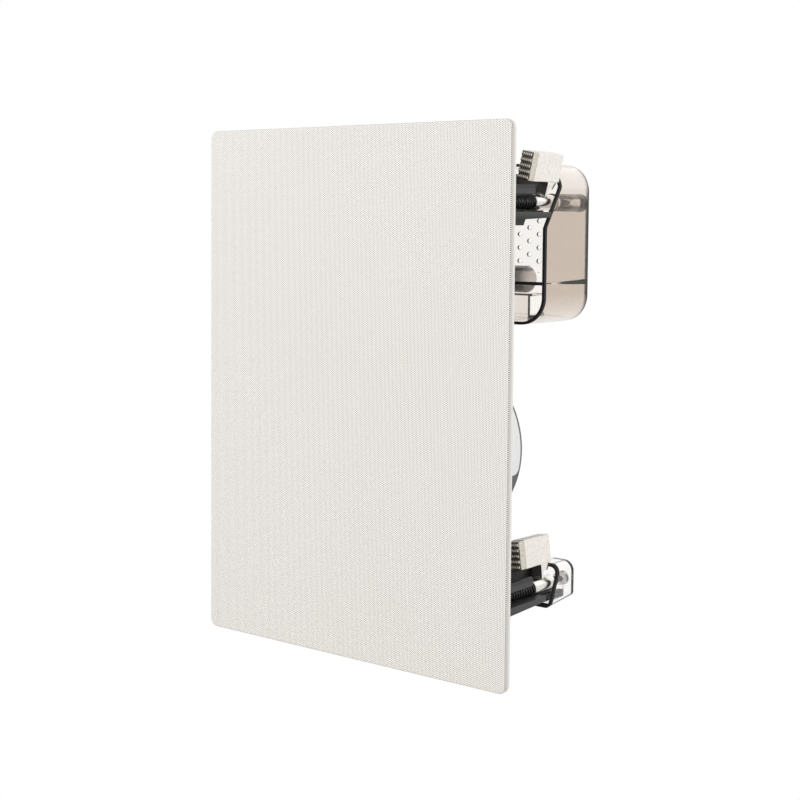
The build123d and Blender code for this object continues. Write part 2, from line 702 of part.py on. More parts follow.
def cover_shell():
    """Clear tub with its crossbar, before its rim is cut."""
    front = COVER_RIM_Y - COVER_ROUGH_LENGTH
    shell = rounded_slab(COVER_W, COVER_H, COVER_CORNER, front, COVER_BACK, 0, COVER_MID_Z)
    shell = fillet(shell.edges().group_by(Axis.Y)[-1], COVER_EDGE)
    inner_w = COVER_W - 2 * COVER_WALL
    inner_h = COVER_H - 2 * COVER_WALL
    inner_corner = COVER_CORNER - COVER_WALL
    inside = rounded_slab(inner_w, inner_h, inner_corner, front - CUT_PAST, COVER_INNER_BACK, 0, COVER_MID_Z)
    bar_left = -COVER_BOSS_LOWER[0] - CROSSBAR_T / 2
    bar_right = COVER_W / 2 - COVER_WALL / 2
    bar = slab(bar_left, bar_right, front, COVER_RIM_Y + CROSSBAR_DEPTH,
               CROSSBAR_Z - CROSSBAR_T / 2, CROSSBAR_Z + CROSSBAR_T / 2)
    return shell - inside + bar


def cover_boss_points():
    return [(i * x, z) for x, z in (COVER_BOSS_UPPER, COVER_BOSS_LOWER) for i in (-1, 1)]


def vent_places():
    """Two staggered fields of vents, one near each end of the back wall."""
    places = []
    for column in range(VENT_COLUMNS):
        shift = VENT_PITCH / 2 if column % 2 else 0.0
        for row in range(VENT_ROWS):
            z = VENT_FIRST_Z + shift + row * VENT_PITCH
            x = VENT_FIRST_X + column * VENT_COLUMN_STEP
            places += [(x, z), (-x, z)]
    return places


def cover_side_rib(side):
    """A wedge rib on an end wall, behind the crossbar."""
    back = COVER_INNER_BACK + COVER_WALL / 2
    outline = [
        (SIDE_RIB_FRONT, CROSSBAR_Z - SIDE_RIB_TIP / 2),
        (back, CROSSBAR_Z - SIDE_RIB_T / 2),
        (back, CROSSBAR_Z + SIDE_RIB_T / 2),
        (SIDE_RIB_FRONT, CROSSBAR_Z + SIDE_RIB_TIP / 2),
    ]
    outer = COVER_W / 2 - COVER_WALL / 2
    inner = COVER_W / 2 - COVER_WALL - SIDE_RIB_REACH
    return side_prism(outline, min(side * inner, side * outer), max(side * inner, side * outer))


def cover_sleeve(side):
    """A tube round the tail of an upper clamp screw, with its bearing at the back."""
    x = side * CLAMP_X
    body = disc(SLEEVE_R, SLEEVE_FRONT, COVER_INNER_BACK + COVER_WALL / 2, x, CLAMP_UPPER_Z)
    body -= disc(SLEEVE_BORE_R, SLEEVE_FRONT - CUT_PAST, BEARING_FRONT, x, CLAMP_UPPER_Z)
    return body - disc(SCREW_R + RUN_FIT, BEARING_FRONT - CUT_PAST, BEARING_BACK, x, CLAMP_UPPER_Z)


def rear_cover():
    """Smoked clear tub over the crossover, with screw bosses, vents and the terminal recess."""
    body = cover_shell()
    for side in (-1, 1):
        body += cover_side_rib(side)
        web = side * COVER_BOSS_LOWER[0]
        body += slab(web - CROSSBAR_T / 2, web + CROSSBAR_T / 2, COVER_RIM_Y, COVER_RIM_Y + CROSSBAR_DEPTH,
                     COVER_BOSS_LOWER[1], CROSSBAR_Z)
    body -= cover_front(SEAL_T)
    for side in (-1, 1):
        body += cover_sleeve(side)
    for x, z in cover_boss_points():
        body += disc(COVER_BOSS_R, CARRIER_BACK, COVER_INNER_BACK + COVER_WALL / 2, x, z)
    wall = COVER_WALL
    recess = slab(RECESS_X0 - wall, RECESS_X1 + wall, RECESS_FLOOR_Y - wall,
                  COVER_INNER_BACK + wall / 2, COVER_LOW_Z + wall / 2, RECESS_TOP_Z + wall)
    body += recess
    body -= slab(RECESS_X0, RECESS_X1, RECESS_FLOOR_Y, COVER_BACK + CUT_PAST, RECESS_LOW_Z, RECESS_TOP_Z)
    for x, z in cover_boss_points():
        body -= disc(COVER_SCREW_R + RUN_FIT, CARRIER_BACK - CUT_PAST, COVER_BACK + CUT_PAST, x, z)
        body -= disc(COVER_SCREW_HEAD_R + SLIM_GAP, COVER_BACK - COVER_SCREW_SINK, COVER_BACK + CUT_PAST, x, z)
    for x, z in vent_places():
        body -= disc(VENT_R, COVER_INNER_BACK - CUT_PAST, COVER_BACK + CUT_PAST, x, z)
    return body


def rear_cover_seal():
    return cover_shell() & (cover_front(SEAL_T) - cover_front(0))


def rear_cover_screws():
    """Long screws from the back into the carrier."""
    seat = COVER_BACK - COVER_SCREW_SINK
    tip = CARRIER_BACK - CARRIER_T - COVER_SCREW_BITE
    screws = []
    for x, z in cover_boss_points():
        head = disc(COVER_SCREW_HEAD_R, seat, seat + COVER_SCREW_HEAD_T, x, z)
        head = fillet(head.edges().group_by(Axis.Y)[-1], COVER_SCREW_HEAD_T * HEAD_ROUND)
        screws.append(head + disc(COVER_SCREW_R, tip, seat + JOIN, x, z))
    return screws


def terminal_button_places():
    left = RECESS_X0 + TERMINAL_MARGIN_X
    return (left + TERMINAL_W / 4, left + TERMINAL_W * 3 / 4)


def terminal_block():
    """Spring terminal body on the recess floor, at its inner end."""
    left = RECESS_X0 + TERMINAL_MARGIN_X
    low = RECESS_LOW_Z + TERMINAL_MARGIN_Z
    top = RECESS_TOP_Z - TERMINAL_MARGIN_Z
    back = RECESS_FLOOR_Y + TERMINAL_T
    body = slab(left, left + TERMINAL_W, RECESS_FLOOR_Y, back, low, top)
    body = fillet(body.edges().group_by(Axis.Y)[-1], TERMINAL_EDGE)
    button_low = top - BUTTON_H - TERMINAL_MARGIN_Z / 2
    half = BUTTON_W / 2 + BUTTON_GAP
    for x in terminal_button_places():
        body -= slab(x - half, x + half, back - BUTTON_WELL, back + CUT_PAST,
                     button_low - BUTTON_GAP, button_low + BUTTON_H + BUTTON_GAP)
        body -= disc(WIRE_HOLE_R, back - BUTTON_WELL, back + CUT_PAST, x, (low + button_low) / 2)
    return body


def terminal_button(place):
    """A spring-loaded push key that opens the wire clamp."""
    top = RECESS_TOP_Z - TERMINAL_MARGIN_Z
    back = RECESS_FLOOR_Y + TERMINAL_T
    front = back - BUTTON_WELL + BUTTON_TRAVEL + BUTTON_GAP
    low = top - BUTTON_H - TERMINAL_MARGIN_Z / 2
    x = terminal_button_places()[place]
    key = slab(x - BUTTON_W / 2, x + BUTTON_W / 2, front, back + BUTTON_PROUD, low, low + BUTTON_H)
    return fillet(key.edges().group_by(Axis.Y)[-1], BUTTON_EDGE)


def board_stud_points():
    x = BOARD_HALF_W - BOARD_STUD_INSET
    rows = (BOARD_LOW_Z + BOARD_STUD_INSET, BOARD_TOP_Z - BOARD_STUD_INSET)
    return [(i * x, z) for i in (-1, 1) for z in rows]


def crossover_carrier():
    """Plate on the four posts; the board and the rear cover hang on it."""
    height = CARRIER_TOP_Z - CARRIER_LOW_Z
    middle = (CARRIER_TOP_Z + CARRIER_LOW_Z) / 2
    body = rounded_slab(2 * CARRIER_HALF_W, height, CARRIER_CORNER, CARRIER_FRONT, CARRIER_BACK, 0, middle)
    body -= disc(CARRIER_WINDOW_R, CARRIER_FRONT - CUT_PAST, CARRIER_BACK + CUT_PAST, 0, TWEETER_Z)
    for x, z in board_stud_points():
        body += disc(BOARD_STUD_R, CARRIER_BACK - JOIN, BOARD_Y, x, z)
    for x, z in cover_boss_points():
        body += disc(COVER_BOSS_R, CARRIER_FRONT - CARRIER_BOSS_H, CARRIER_FRONT + JOIN, x, z)
        body -= disc(COVER_SCREW_R + SMALL_HOLE_GAP, CARRIER_FRONT - COVER_SCREW_BITE - SCREW_TAIL,
                     CARRIER_BACK + CUT_PAST, x, z)
    return body


def carrier_posts():
    """Round standoffs between the baffle and the carrier."""
    posts = []
    for x, z in carrier_post_points():
        post = disc(CARRIER_POST_R, BAFFLE_BACK, CARRIER_FRONT, x, z)
        post = chamfer(post.edges().filter_by(GeomType.CIRCLE), CARRIER_POST_EDGE)
        posts.append(post - small_hole(x, z, 0, BAFFLE_BACK + SMALL_SCREW_BITE + SLIM_GAP))
    return posts


def crossover_board():
    return slab(-BOARD_HALF_W, BOARD_HALF_W, BOARD_Y, BOARD_Y + BOARD_T, BOARD_LOW_Z, BOARD_TOP_Z)


def crossover_capacitors():
    """Axial film capacitors lying along the bottom of the board."""
    y = BOARD_Y + BOARD_T + CAPACITOR_R
    z = BOARD_LOW_Z + CAPACITOR_R - CAPACITOR_HANG
    pieces = []
    right = CAPACITOR_ENDS_X - CAPACITOR_LENGTH / 2
    for x in (CAPACITOR_LEFT_INSET - right, right):
        body = Pos(x, y, z) * Rot(0, 90, 0) * Cylinder(CAPACITOR_R, CAPACITOR_LENGTH)
        pieces.append(fillet(body.edges().filter_by(GeomType.CIRCLE), CAPACITOR_EDGE))
    return pieces


def board_row():
    """Middles of the two coils and the resistors along the board; a shorter board draws them together."""
    widths = (2 * COIL_R, 2 * COIL_R, RESISTOR_SIZE[0])
    share = (2 * BOARD_HALF_W - sum(widths)) / sum(ROW_CLEAR)
    end = -BOARD_HALF_W
    middles = []
    for clear, width in zip(ROW_CLEAR, widths):
        start = end + clear * share
        end = start + width
        middles.append((start + end) / 2)
    return middles


def crossover_coils():
    """Air-core inductors."""
    front = BOARD_Y + BOARD_T
    return [ring(COIL_R, COIL_BORE_R, front, front + COIL_H, x, COIL_Z) for x in board_row()[:2]]


def crossover_resistors():
    """Cement power resistors."""
    front = BOARD_Y + BOARD_T
    length, width, height = RESISTOR_SIZE
    pieces = []
    x = board_row()[2]
    for z in RESISTOR_ROWS:
        block = slab(x - length / 2, x + length / 2, front, front + width, z - height / 2, z + height / 2)
        pieces.append(chamfer(block.edges().group_by(Axis.Y)[-1], RESISTOR_EDGE))
    return pieces


def woofer_basket():
    """Pressed basket: flange, eight legs and the motor seat."""
    front = DRIVER_FRONT
    wall = BASKET_WALL
    outer = [
        (WOOFER_THROAT_R, front), (WOOFER_FLANGE_R, front), (WOOFER_FLANGE_R, BAFFLE_FRONT),
        (WOOFER_THROAT_R + wall, BAFFLE_FRONT), (WOOFER_THROAT_R + wall, BAFFLE_BACK + wall),
        (SPIDER_LEDGE_R + wall, SPIDER_Y + wall), (BASKET_SEAT_R, BASKET_SEAT_Y),
        (BASKET_SEAT_R, BASKET_SEAT_Y + BASKET_SEAT_T), (GAP_R + wall, BASKET_SEAT_Y + BASKET_SEAT_T),
        (GAP_R + wall, BASKET_SEAT_Y), (BASKET_SEAT_R - wall, BASKET_SEAT_Y),
        (SPIDER_LEDGE_R - wall, SPIDER_Y + SPIDER_T), (SPIDER_LEDGE_R, SPIDER_Y + SPIDER_T),
        (SPIDER_LEDGE_R, SPIDER_Y), (WOOFER_THROAT_R, BAFFLE_BACK),
    ]
    body = turned(outer, 0, WOOFER_Z)
    window_front = BAFFLE_BACK + 2 * wall
    window_back = SPIDER_Y - wall
    window = turned([
        (SPIDER_LEDGE_R - 4 * wall, window_back), (SPIDER_LEDGE_R + 4 * wall, window_back),
        (WOOFER_FLANGE_R, window_front), (SPIDER_LEDGE_R, window_front)], 0, WOOFER_Z)
    for i in range(BASKET_LEGS // 2):
        leg = slab(-WOOFER_FLANGE_R, WOOFER_FLANGE_R, 0, window_back + CUT_PAST, -BASKET_LEG_W / 2, BASKET_LEG_W / 2)
        window -= Pos(0, 0, WOOFER_Z) * Rot(0, i * 360 / BASKET_LEGS, 0) * leg
    body -= window
    for x, z in woofer_screw_points():
        body -= small_hole(x, z, front - CUT_PAST, BAFFLE_BACK + CUT_PAST)
    return body


def woofer_gasket():
    """Trim ring that presses the surround's lip on the flange."""
    top = DRIVER_FRONT - SURROUND_T
    lip_out = WOOFER_SCREW_CIRCLE - SMALL_HEAD_R - SLIM_GAP
    return ring(lip_out, WOOFER_THROAT_R, top - GASKET_T, top, 0, WOOFER_Z)


def woofer_surround():
    """Half-roll rubber surround with a lip under the trim ring."""
    lip_front = DRIVER_FRONT - SURROUND_T
    lip_back = DRIVER_FRONT
    lip_out = WOOFER_SCREW_CIRCLE - SMALL_HEAD_R - SLIM_GAP
    roll_out = WOOFER_THROAT_R
    middle = roll_out - SURROUND_ROLL_R
    roll_in = middle - SURROUND_ROLL_R
    inner_roll = SURROUND_ROLL_R - SURROUND_T
    outer_arc = ThreePointArc((roll_out, lip_front), (middle, lip_front - SURROUND_ROLL_R), (roll_in, lip_front))
    inner_arc = ThreePointArc(
        (roll_in + SURROUND_T, lip_back), (middle, lip_back - inner_roll - SURROUND_T),
        (roll_out - SURROUND_T, lip_back))
    attach_in = CONE_RIM_R - SURROUND_ROLL_R / 2
    edge = Line((roll_in, lip_front), (attach_in, lip_front))
    edge += Line((attach_in, lip_front), (attach_in, lip_back))
    edge += Line((attach_in, lip_back), (roll_in + SURROUND_T, lip_back))
    far = Line((roll_out - SURROUND_T, lip_back), (lip_out, lip_back))
    far += Line((lip_out, lip_back), (lip_out, lip_front))
    far += Line((lip_out, lip_front), (roll_out, lip_front))
    face = make_face(outer_arc + edge + inner_arc + far)
    return Pos(0, 0, WOOFER_Z) * revolve(face, Axis.Y)


def cone_neck():
    """Radius and depth of the cone's front face at the coil former."""
    return COIL_FORMER_R + COIL_FORMER_T + GLUE_T, COIL_FORMER_FRONT + CONE_T


def cone_knee():
    """Radius and depth of the cone's front face at its bend."""
    neck_r, neck_y = cone_neck()
    return (neck_r + CONE_RIM_R) / 2, (neck_y + CONE_RIM_Y) / 2 + CONE_BOW


def woofer_cone():
    """Paper cone from the coil former to the surround."""
    rim_front = DRIVER_FRONT
    neck_r, neck_y = cone_neck()
    knee_r, knee_y = cone_knee()
    points = [
        (CONE_RIM_R, rim_front), (CONE_RIM_R, CONE_RIM_Y + CONE_T), (knee_r, knee_y + CONE_T),
        (neck_r, neck_y + CONE_T), (neck_r, neck_y), (knee_r, knee_y),
        (CONE_RIM_R - 2 * CONE_T, rim_front + CONE_T), (CONE_RIM_R - SURROUND_ROLL_R / 2, rim_front + CONE_T),
        (CONE_RIM_R - SURROUND_ROLL_R / 2, rim_front),
    ]
    return turned(points, 0, WOOFER_Z)


def woofer_dust_cap():
    """Shallow dome glued in the middle of the cone."""
    neck_r, neck_y = cone_neck()
    knee_r, knee_y = cone_knee()
    slope = (neck_y - knee_y) / (knee_r - neck_r)
    seat_y = neck_y - slope * (DUST_CAP_R - neck_r) - GLUE_T
    sphere_r = (DUST_CAP_R ** 2 + DUST_CAP_RISE ** 2) / (2 * DUST_CAP_RISE)
    centre_y = seat_y - DUST_CAP_RISE + sphere_r
    whole = Pos(0, centre_y, WOOFER_Z) * Sphere(sphere_r)
    whole -= Pos(0, centre_y, WOOFER_Z) * Sphere(sphere_r - CONE_T)
    return whole & disc(DUST_CAP_R, seat_y - DUST_CAP_RISE - CUT_PAST, seat_y, 0, WOOFER_Z)


def woofer_voice_coil():
    """Former with the winding at its back end."""
    tube = ring(COIL_FORMER_R + COIL_FORMER_T, COIL_FORMER_R, COIL_FORMER_FRONT, COIL_FORMER_BACK, 0, WOOFER_Z)
    winding_r = COIL_FORMER_R + COIL_FORMER_T + COIL_WINDING_T
    winding_front = COIL_FORMER_BACK - COIL_WINDING_LENGTH
    return tube + ring(winding_r, COIL_FORMER_R, winding_front, COIL_FORMER_BACK, 0, WOOFER_Z)


def woofer_spider():
    """Corrugated centring disc between the former and the basket ledge."""
    inner = COIL_FORMER_R + COIL_FORMER_T
    outer = SPIDER_LEDGE_R - BASKET_WALL / 4
    flat = SPIDER_FLAT
    step = (outer - inner - 2 * flat) / (2 * SPIDER_WAVES)
    upper = [(inner, SPIDER_Y), (inner + flat, SPIDER_Y)]
    for i in range(1, 2 * SPIDER_WAVES):
        rise = SPIDER_WAVE_H if i % 2 else -SPIDER_WAVE_H
        upper.append((inner + flat + i * step, SPIDER_Y - rise / 2))
    upper += [(outer - flat, SPIDER_Y), (outer, SPIDER_Y)]
    lower = [(radius, y + SPIDER_T) for radius, y in reversed(upper)]
    return turned(upper + lower, 0, WOOFER_Z)


def woofer_top_plate():
    front = BASKET_SEAT_Y + BASKET_SEAT_T
    return ring(BASKET_SEAT_R, GAP_R, front, TOP_PLATE_BACK, 0, WOOFER_Z)


def woofer_magnet():
    body = disc(FERRITE_R, TOP_PLATE_BACK, FERRITE_BACK, 0, WOOFER_Z)
    body = chamfer(body.edges().filter_by(GeomType.CIRCLE), FERRITE_EDGE)
    return body - disc(FERRITE_BORE_R, TOP_PLATE_BACK - CUT_PAST, FERRITE_BACK + CUT_PAST, 0, WOOFER_Z)


def woofer_yoke():
    """Back plate and pole in one turning."""
    plate = disc(YOKE_R, FERRITE_BACK, YOKE_BACK, 0, WOOFER_Z)
    return plate + disc(POLE_R, BASKET_SEAT_Y + BASKET_SEAT_T, FERRITE_BACK + CUT_PAST, 0, WOOFER_Z)


def woofer_bucking_magnet():
    """Second magnet between the yoke and the shielding can."""
    body = disc(YOKE_R, YOKE_BACK, CAN_BACK - CAN_WALL, 0, WOOFER_Z)
    return chamfer(body.edges().group_by(Axis.Y)[0], FERRITE_EDGE)


def woofer_can():
    """Drawn steel shielding can round the motor."""
    body = disc(CAN_R, CAN_FRONT, CAN_BACK, 0, WOOFER_Z)
    body = fillet(body.edges().group_by(Axis.Y)[-1], CAN_EDGE)
    return body - disc(CAN_R - CAN_WALL, CAN_FRONT - CUT_PAST, CAN_BACK - CAN_WALL, 0, WOOFER_Z)


def woofer_label():
    """Blank paper label round the right side of the can."""
    start = Rot(0, LABEL_LOW_END, 0)
    front = CAN_FRONT + LABEL_MARGIN
    back = CAN_BACK - CAN_EDGE - LABEL_MARGIN / 2
    inner = CAN_R + GLUE_T
    outer = inner + LABEL_T
    corners = [(inner, front, 0), (outer, front, 0), (outer, back, 0), (inner, back, 0)]
    band = revolve(make_face(Polyline(*corners, close=True)), Axis((0, 0, 0), (0, -1, 0)), LABEL_SPAN)
    band = fillet(band.edges().sort_by(SortBy.LENGTH)[:4], LABEL_CORNER)
    return Pos(0, 0, WOOFER_Z) * start * band


def woofer_screws():
    return [small_screw(x, z, DRIVER_FRONT) for x, z in woofer_screw_points()]


def tweeter_faceplate():
    """Round plate with a shallow horn in front of the dome."""
    front = BAFFLE_FRONT - TWEETER_T
    points = [
        (TWEETER_THROAT_R, front + TWEETER_DISH), (TWEETER_MOUTH_R, front), (TWEETER_R, front),
        (TWEETER_R, BAFFLE_FRONT), (TWEETER_THROAT_R, BAFFLE_FRONT),
    ]
    body = turned(points, 0, TWEETER_Z)
    for x, z in tweeter_screw_points():
        body -= small_hole(x, z, front - CUT_PAST, BAFFLE_FRONT + CUT_PAST)
    return body


def tweeter_dome():
    """Silk dome with its flat mounting rim on the motor."""
    seat = BAFFLE_FRONT
    sphere_r = (DOME_R ** 2 + DOME_RISE ** 2) / (2 * DOME_RISE)
    centre = Pos(0, seat - DOME_RISE + sphere_r, TWEETER_Z)
    shell = centre * Sphere(sphere_r) - centre * Sphere(sphere_r - DOME_T)
    shell = shell & disc(DOME_R, seat - DOME_RISE - CUT_PAST, seat, 0, TWEETER_Z)
    rim_out = TWEETER_THROAT_R - SLIM_GAP / 2
    return shell + ring(rim_out, DOME_R - 2 * DOME_T, seat - DOME_T, seat, 0, TWEETER_Z)


def tweeter_motor():
    """Cup with magnet, behind the faceplate."""
    body = disc(TWEETER_CUP_R, BAFFLE_FRONT, TWEETER_CUP_BACK, 0, TWEETER_Z)
    return fillet(body.edges().group_by(Axis.Y)[-1], TWEETER_CUP_EDGE)


def tweeter_screws():
    return [small_screw(x, z, BAFFLE_FRONT - TWEETER_T) for x, z in tweeter_screw_points()]


def assembly_screws():
    """Small screws from the tray into the towers and the carrier posts."""
    return [small_screw(x, z, BAFFLE_FRONT) for x, z in tower_screw_points() + carrier_post_points()]


def write(node, shape):
    """One file for each node; a list is a group of separate solids."""
    group = Compound(children=shape) if isinstance(shape, list) else shape
    export_step(group, f"parts/{node}.step")


def main():
    os.makedirs("parts", exist_ok=True)
    single = (
        grille, grille_magnets, frame, rear_cover, rear_cover_seal, rear_cover_screws,
        carrier_posts, crossover_carrier, crossover_board, crossover_capacitors, crossover_coils,
        crossover_resistors, terminal_block, woofer_basket, woofer_gasket, woofer_surround,
        woofer_cone, woofer_dust_cap, woofer_voice_coil, woofer_spider, woofer_top_plate,
        woofer_magnet, woofer_yoke, woofer_bucking_magnet, woofer_can, woofer_label, woofer_screws,
        tweeter_faceplate, tweeter_dome, tweeter_motor, tweeter_screws, assembly_screws,
    )
    for piece in single:
        write(piece.__name__, piece())
    write("terminal_button_red", terminal_button(0))
    write("terminal_button_black", terminal_button(1))
    screw = clamp_screw()
    for name, side, height, dog_y, swing in CLAMPS:
        write(f"clamp_tower_{name}", at_clamp(clamp_tower(height < 0), side, height))
        write(f"clamp_screw_{name}", at_clamp(screw, side, height))
        write(f"clamp_washer_{name}", at_clamp(clamp_washer(dog_y), side, height))
        write(f"clamp_spring_{name}", at_clamp(clamp_spring(dog_y), side, height))
        write(f"clamp_dog_{name}", at_clamp(Rot(0, swing, 0) * clamp_dog(dog_y), side, height))
        if height < 0:
            write(f"clamp_cap_{name}", at_clamp(clamp_cap(), side, height))
            write(f"clamp_cap_seal_{name}", at_clamp(clamp_cap_seal(), side, height))


main()
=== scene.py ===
"""Dressed model of a two-way in-wall loudspeaker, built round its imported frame.

Lengths are metres in the part's own frame: +X right seen from the room, +Y into the wall, +Z up.
"""
import json
import math

import bpy
from mathutils import Matrix, Vector


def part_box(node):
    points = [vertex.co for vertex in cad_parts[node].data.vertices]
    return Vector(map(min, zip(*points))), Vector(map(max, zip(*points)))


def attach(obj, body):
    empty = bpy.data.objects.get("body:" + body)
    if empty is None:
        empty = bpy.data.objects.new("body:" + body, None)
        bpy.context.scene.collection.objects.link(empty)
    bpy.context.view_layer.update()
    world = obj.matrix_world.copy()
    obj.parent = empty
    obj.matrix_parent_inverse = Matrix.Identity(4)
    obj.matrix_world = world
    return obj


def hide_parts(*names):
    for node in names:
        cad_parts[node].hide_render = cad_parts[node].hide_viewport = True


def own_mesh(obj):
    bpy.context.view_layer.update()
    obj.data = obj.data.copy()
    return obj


MM = 0.001

# Camera at the photograph's viewing angle
CAMERA_PLACE = (0.54567, -0.68660, 0.10184)
CAMERA_YAW = math.radians(39.446)
CAMERA_PITCH = math.radians(3.641)
CAMERA_ROLL = math.radians(0.302)
CAMERA_LENS = 68.16
CAMERA_SENSOR = 36.0
CAMERA_SHIFT = (0.08875, -0.1068)
CAMERA_CLIP = (0.01, 50.0)

# Stage: floor, light of the surround, and soft boxes by name, place, aim, size and watts
FLOOR_Z = -0.1552
FLOOR_REACH = 6.0
WORLD_FILL = 0.52
LAMPS = (
    ("key", (-0.8, -1.2, 0.95), (0.0, 0.0, 0.0), 1.0, 12.4),
    ("right_fill", (1.9, -0.3, 0.7), (0.05, 0.04, 0.0), 1.0, 12.0),
    ("back_top", (0.5, 1.5, 1.4), (0.0, 0.05, 0.0), 2.6, 9.0),
)

# Clamps: name, x and z of the screw's axis
CLAMP_X = 0.0885
CLAMP_UPPER_Z = 0.1115
CLAMP_LOWER_Z = -0.1105
CLAMP_MID_Z = (CLAMP_UPPER_Z + CLAMP_LOWER_Z) / 2
CLAMP_HALF_Z = (CLAMP_UPPER_Z - CLAMP_LOWER_Z) / 2
CLAMPS = (
    ("upper_right", CLAMP_X, CLAMP_UPPER_Z),
    ("lower_right", CLAMP_X, CLAMP_LOWER_Z),
    ("upper_left", -CLAMP_X, CLAMP_UPPER_Z),
    ("lower_left", -CLAMP_X, CLAMP_LOWER_Z),
)
SPRING_WIRE_R = 0.45 * MM
SPRING_WIRE_SIDES = 10
SPRING_PITCH = 2.6 * MM
SPRING_STEPS_PER_TURN = 28

# Clamp screws: thread, with its flanks and crest as shares of the pitch, and pan head
SCREW_ROOT_R = 1.55 * MM
SCREW_CREST_R = 1.98 * MM
SCREW_PITCH = 2.0 * MM
SCREW_FLANK_START = 0.3
SCREW_CREST_START = 0.6
SCREW_CREST_END = 0.7
SCREW_STEPS_PER_TURN = 24
SCREW_THREAD_START = 12.0 * MM
SCREW_PLAIN_TAIL = 5.0 * MM
SCREW_HEAD_R = 4.0 * MM
SCREW_HEAD_T = 2.6 * MM

# Small screws
SMALL_SHANK_R = 1.3 * MM
SMALL_HEAD_R = 2.8 * MM
SMALL_HEAD_T = 1.8 * MM
COVER_SHANK_R = 1.5 * MM
COVER_HEAD_R = 3.2 * MM
COVER_HEAD_T = 2.2 * MM

# All screws: rounded edge as a share of the head's height, cross recess as shares of the head's radius,
# and the blunt tip as a share of the shank's radius
HEAD_SIDES = 40
HEAD_ROUND = 0.6
HEAD_ROUND_STEPS = 6
CROSS_LENGTH = 1.15
CROSS_WIDTH = 0.26
CROSS_DEPTH = 0.54
SHANK_TIP = 0.4

# Crossover coils: layers of round wire on a bore
COIL_BORE_R = 8.0 * MM
COIL_R = 17.0 * MM
COIL_WIRE_R = 0.7 * MM
COIL_SIDES = 72
COIL_BULGE_STEPS = 4
COIL_PLACES = ((-34.0 * MM, 101.5 * MM), (6.0 * MM, 101.5 * MM))

# Where the small screws stand
WOOFER_Z = -38.0 * MM
WOOFER_SCREWS = 8
WOOFER_SCREW_CIRCLE = 79.5 * MM
TWEETER_Z = 88.0 * MM
TWEETER_SCREWS = 4
TWEETER_SCREW_CIRCLE = 35.5 * MM
TOWER_SCREW_OFFSET = 9.0 * MM
POST_X = 56.0 * MM
POST_Z = (60.0 * MM, 118.0 * MM)
COVER_SCREW_PLACES = ((42.0 * MM, 125.0 * MM), (11.0 * MM, 52.0 * MM))

# Grille: perforation, the bend at its edge that gets painted shade, and how far behind the front the painted
# shade on its side lightens again
HOLE_PITCH = 1.1 * MM
HOLE_R = 0.29 * MM
HOLE_SOFT = 0.10 * MM
EDGE_HOLES = 1.2 * MM
GRILLE_HALF_W = 0.110
GRILLE_HALF_H = 0.155
GRILLE_PLAIN_EDGE = 0.15 * MM
GRILLE_FRONT_Y = -0.0060
GRILLE_BEND = 1.0 * MM
GRILLE_BEND_START = 0.2 * MM
GRILLE_SIDE_PALE = 4.0 * MM

# Dogs: the upper block and how much further back the lower one starts, teeth, arm and turned barrel
DOG_FRONT_Y = 33.5 * MM
LOWER_DOG_SETBACK = 5.0 * MM
TOOTH_H = 1.8 * MM
TOOTH_PITCH = 1.22 * MM
TOOTH_CREST = (0.3 * MM, 0.95 * MM)
TOOTH_SLOT = (0.18 * MM, 0.42 * MM)
TOOTH_ROOT_FADE = 0.05 * MM
RELIEF_BACK = 6.8 * MM
RELIEF_FADE = 0.3 * MM
DOG_BLOCK_LOW = 12.3 * MM
ARM_FRONT_Y = 56.1 * MM
ARM_LEAN = 0.089
ARM_REAR_Y = 56.2 * MM
ARM_REAR_LEAN = 0.663
BARREL_FADE = (4.8 * MM, 5.6 * MM)

# Rear cover: corner centres of its outline, wall, rear edge, and where the side walls' darker band is full
# above and below
COVER_CORNER_X = 80.0 * MM
COVER_CORNER_LOW_Z = 57.5 * MM
COVER_CORNER_TOP_Z = 118.0 * MM
COVER_CORNER_R = 16.0 * MM
COVER_WALL = 1.6 * MM
COVER_INNER_R = COVER_CORNER_R - COVER_WALL
COVER_REAR_Y = 97.2 * MM
COVER_BAR_Z = 65.3 * MM
WALL_BAND_LOW_Z = (COVER_BAR_Z - 24.0 * MM, COVER_BAR_Z - 6.0 * MM)
WALL_BAND_TOP_Z = (CLAMP_UPPER_Z - 6.0 * MM, CLAMP_UPPER_Z + 10.0 * MM)
WALL_FADE = (COVER_INNER_R - 0.4 * MM, COVER_INNER_R - 0.1 * MM)

# Rear cover's side ribs painted dark as shade, and the painted dark shade on its rear edge that fades into
# the corners
SIDE_RIB_FRONT_Y = 60.0 * MM
SIDE_RIB_TIP = 0.7 * MM
SIDE_RIB_T = 2.9 * MM
SIDE_RIB_FADE = (66.0 * MM, 73.0 * MM)
SIDE_RIB_REACH = 11.0 * MM
REAR_EDGE_FADE = 0.3 * MM
REAR_EDGE_TOP_Z = (CLAMP_UPPER_Z, COVER_CORNER_TOP_Z + 6.0 * MM)
REAR_EDGE_LOW_Z = (COVER_CORNER_LOW_Z - 10.0 * MM, COVER_CORNER_LOW_Z)
REAR_EDGE_FAINT = 0.25

# Rear cover's screw sleeves with their bands of painted shade, terminal recess and vents; bearing in the
# clamp caps
SLEEVE_R = 5.2 * MM
SLEEVE_FRONT_Y = 69.8 * MM
SLEEVE_UPPER_BAND = (1.4 * MM, 2.8 * MM)
SLEEVE_LOWER_BAND = (-2.6 * MM, -1.0 * MM)
RECESS_START_X = 20.4 * MM
RECESS_END_X = 65.9 * MM
RECESS_TOP_Z = 57.6 * MM
RECESS_FRONT_Y = 84.4 * MM
RECESS_LINE = 1.2 * MM
RECESS_LINE_DEPTH = 0.5 * MM
VENT_R = 1.4 * MM
VENT_FIRST = (41.8 * MM, 72.5 * MM)
VENT_STEP = (13.5 * MM, 8.1 * MM)
VENT_FIELD = (20.3 * MM, 28.4 * MM)
CAP_BEARING_R = 3.9 * MM
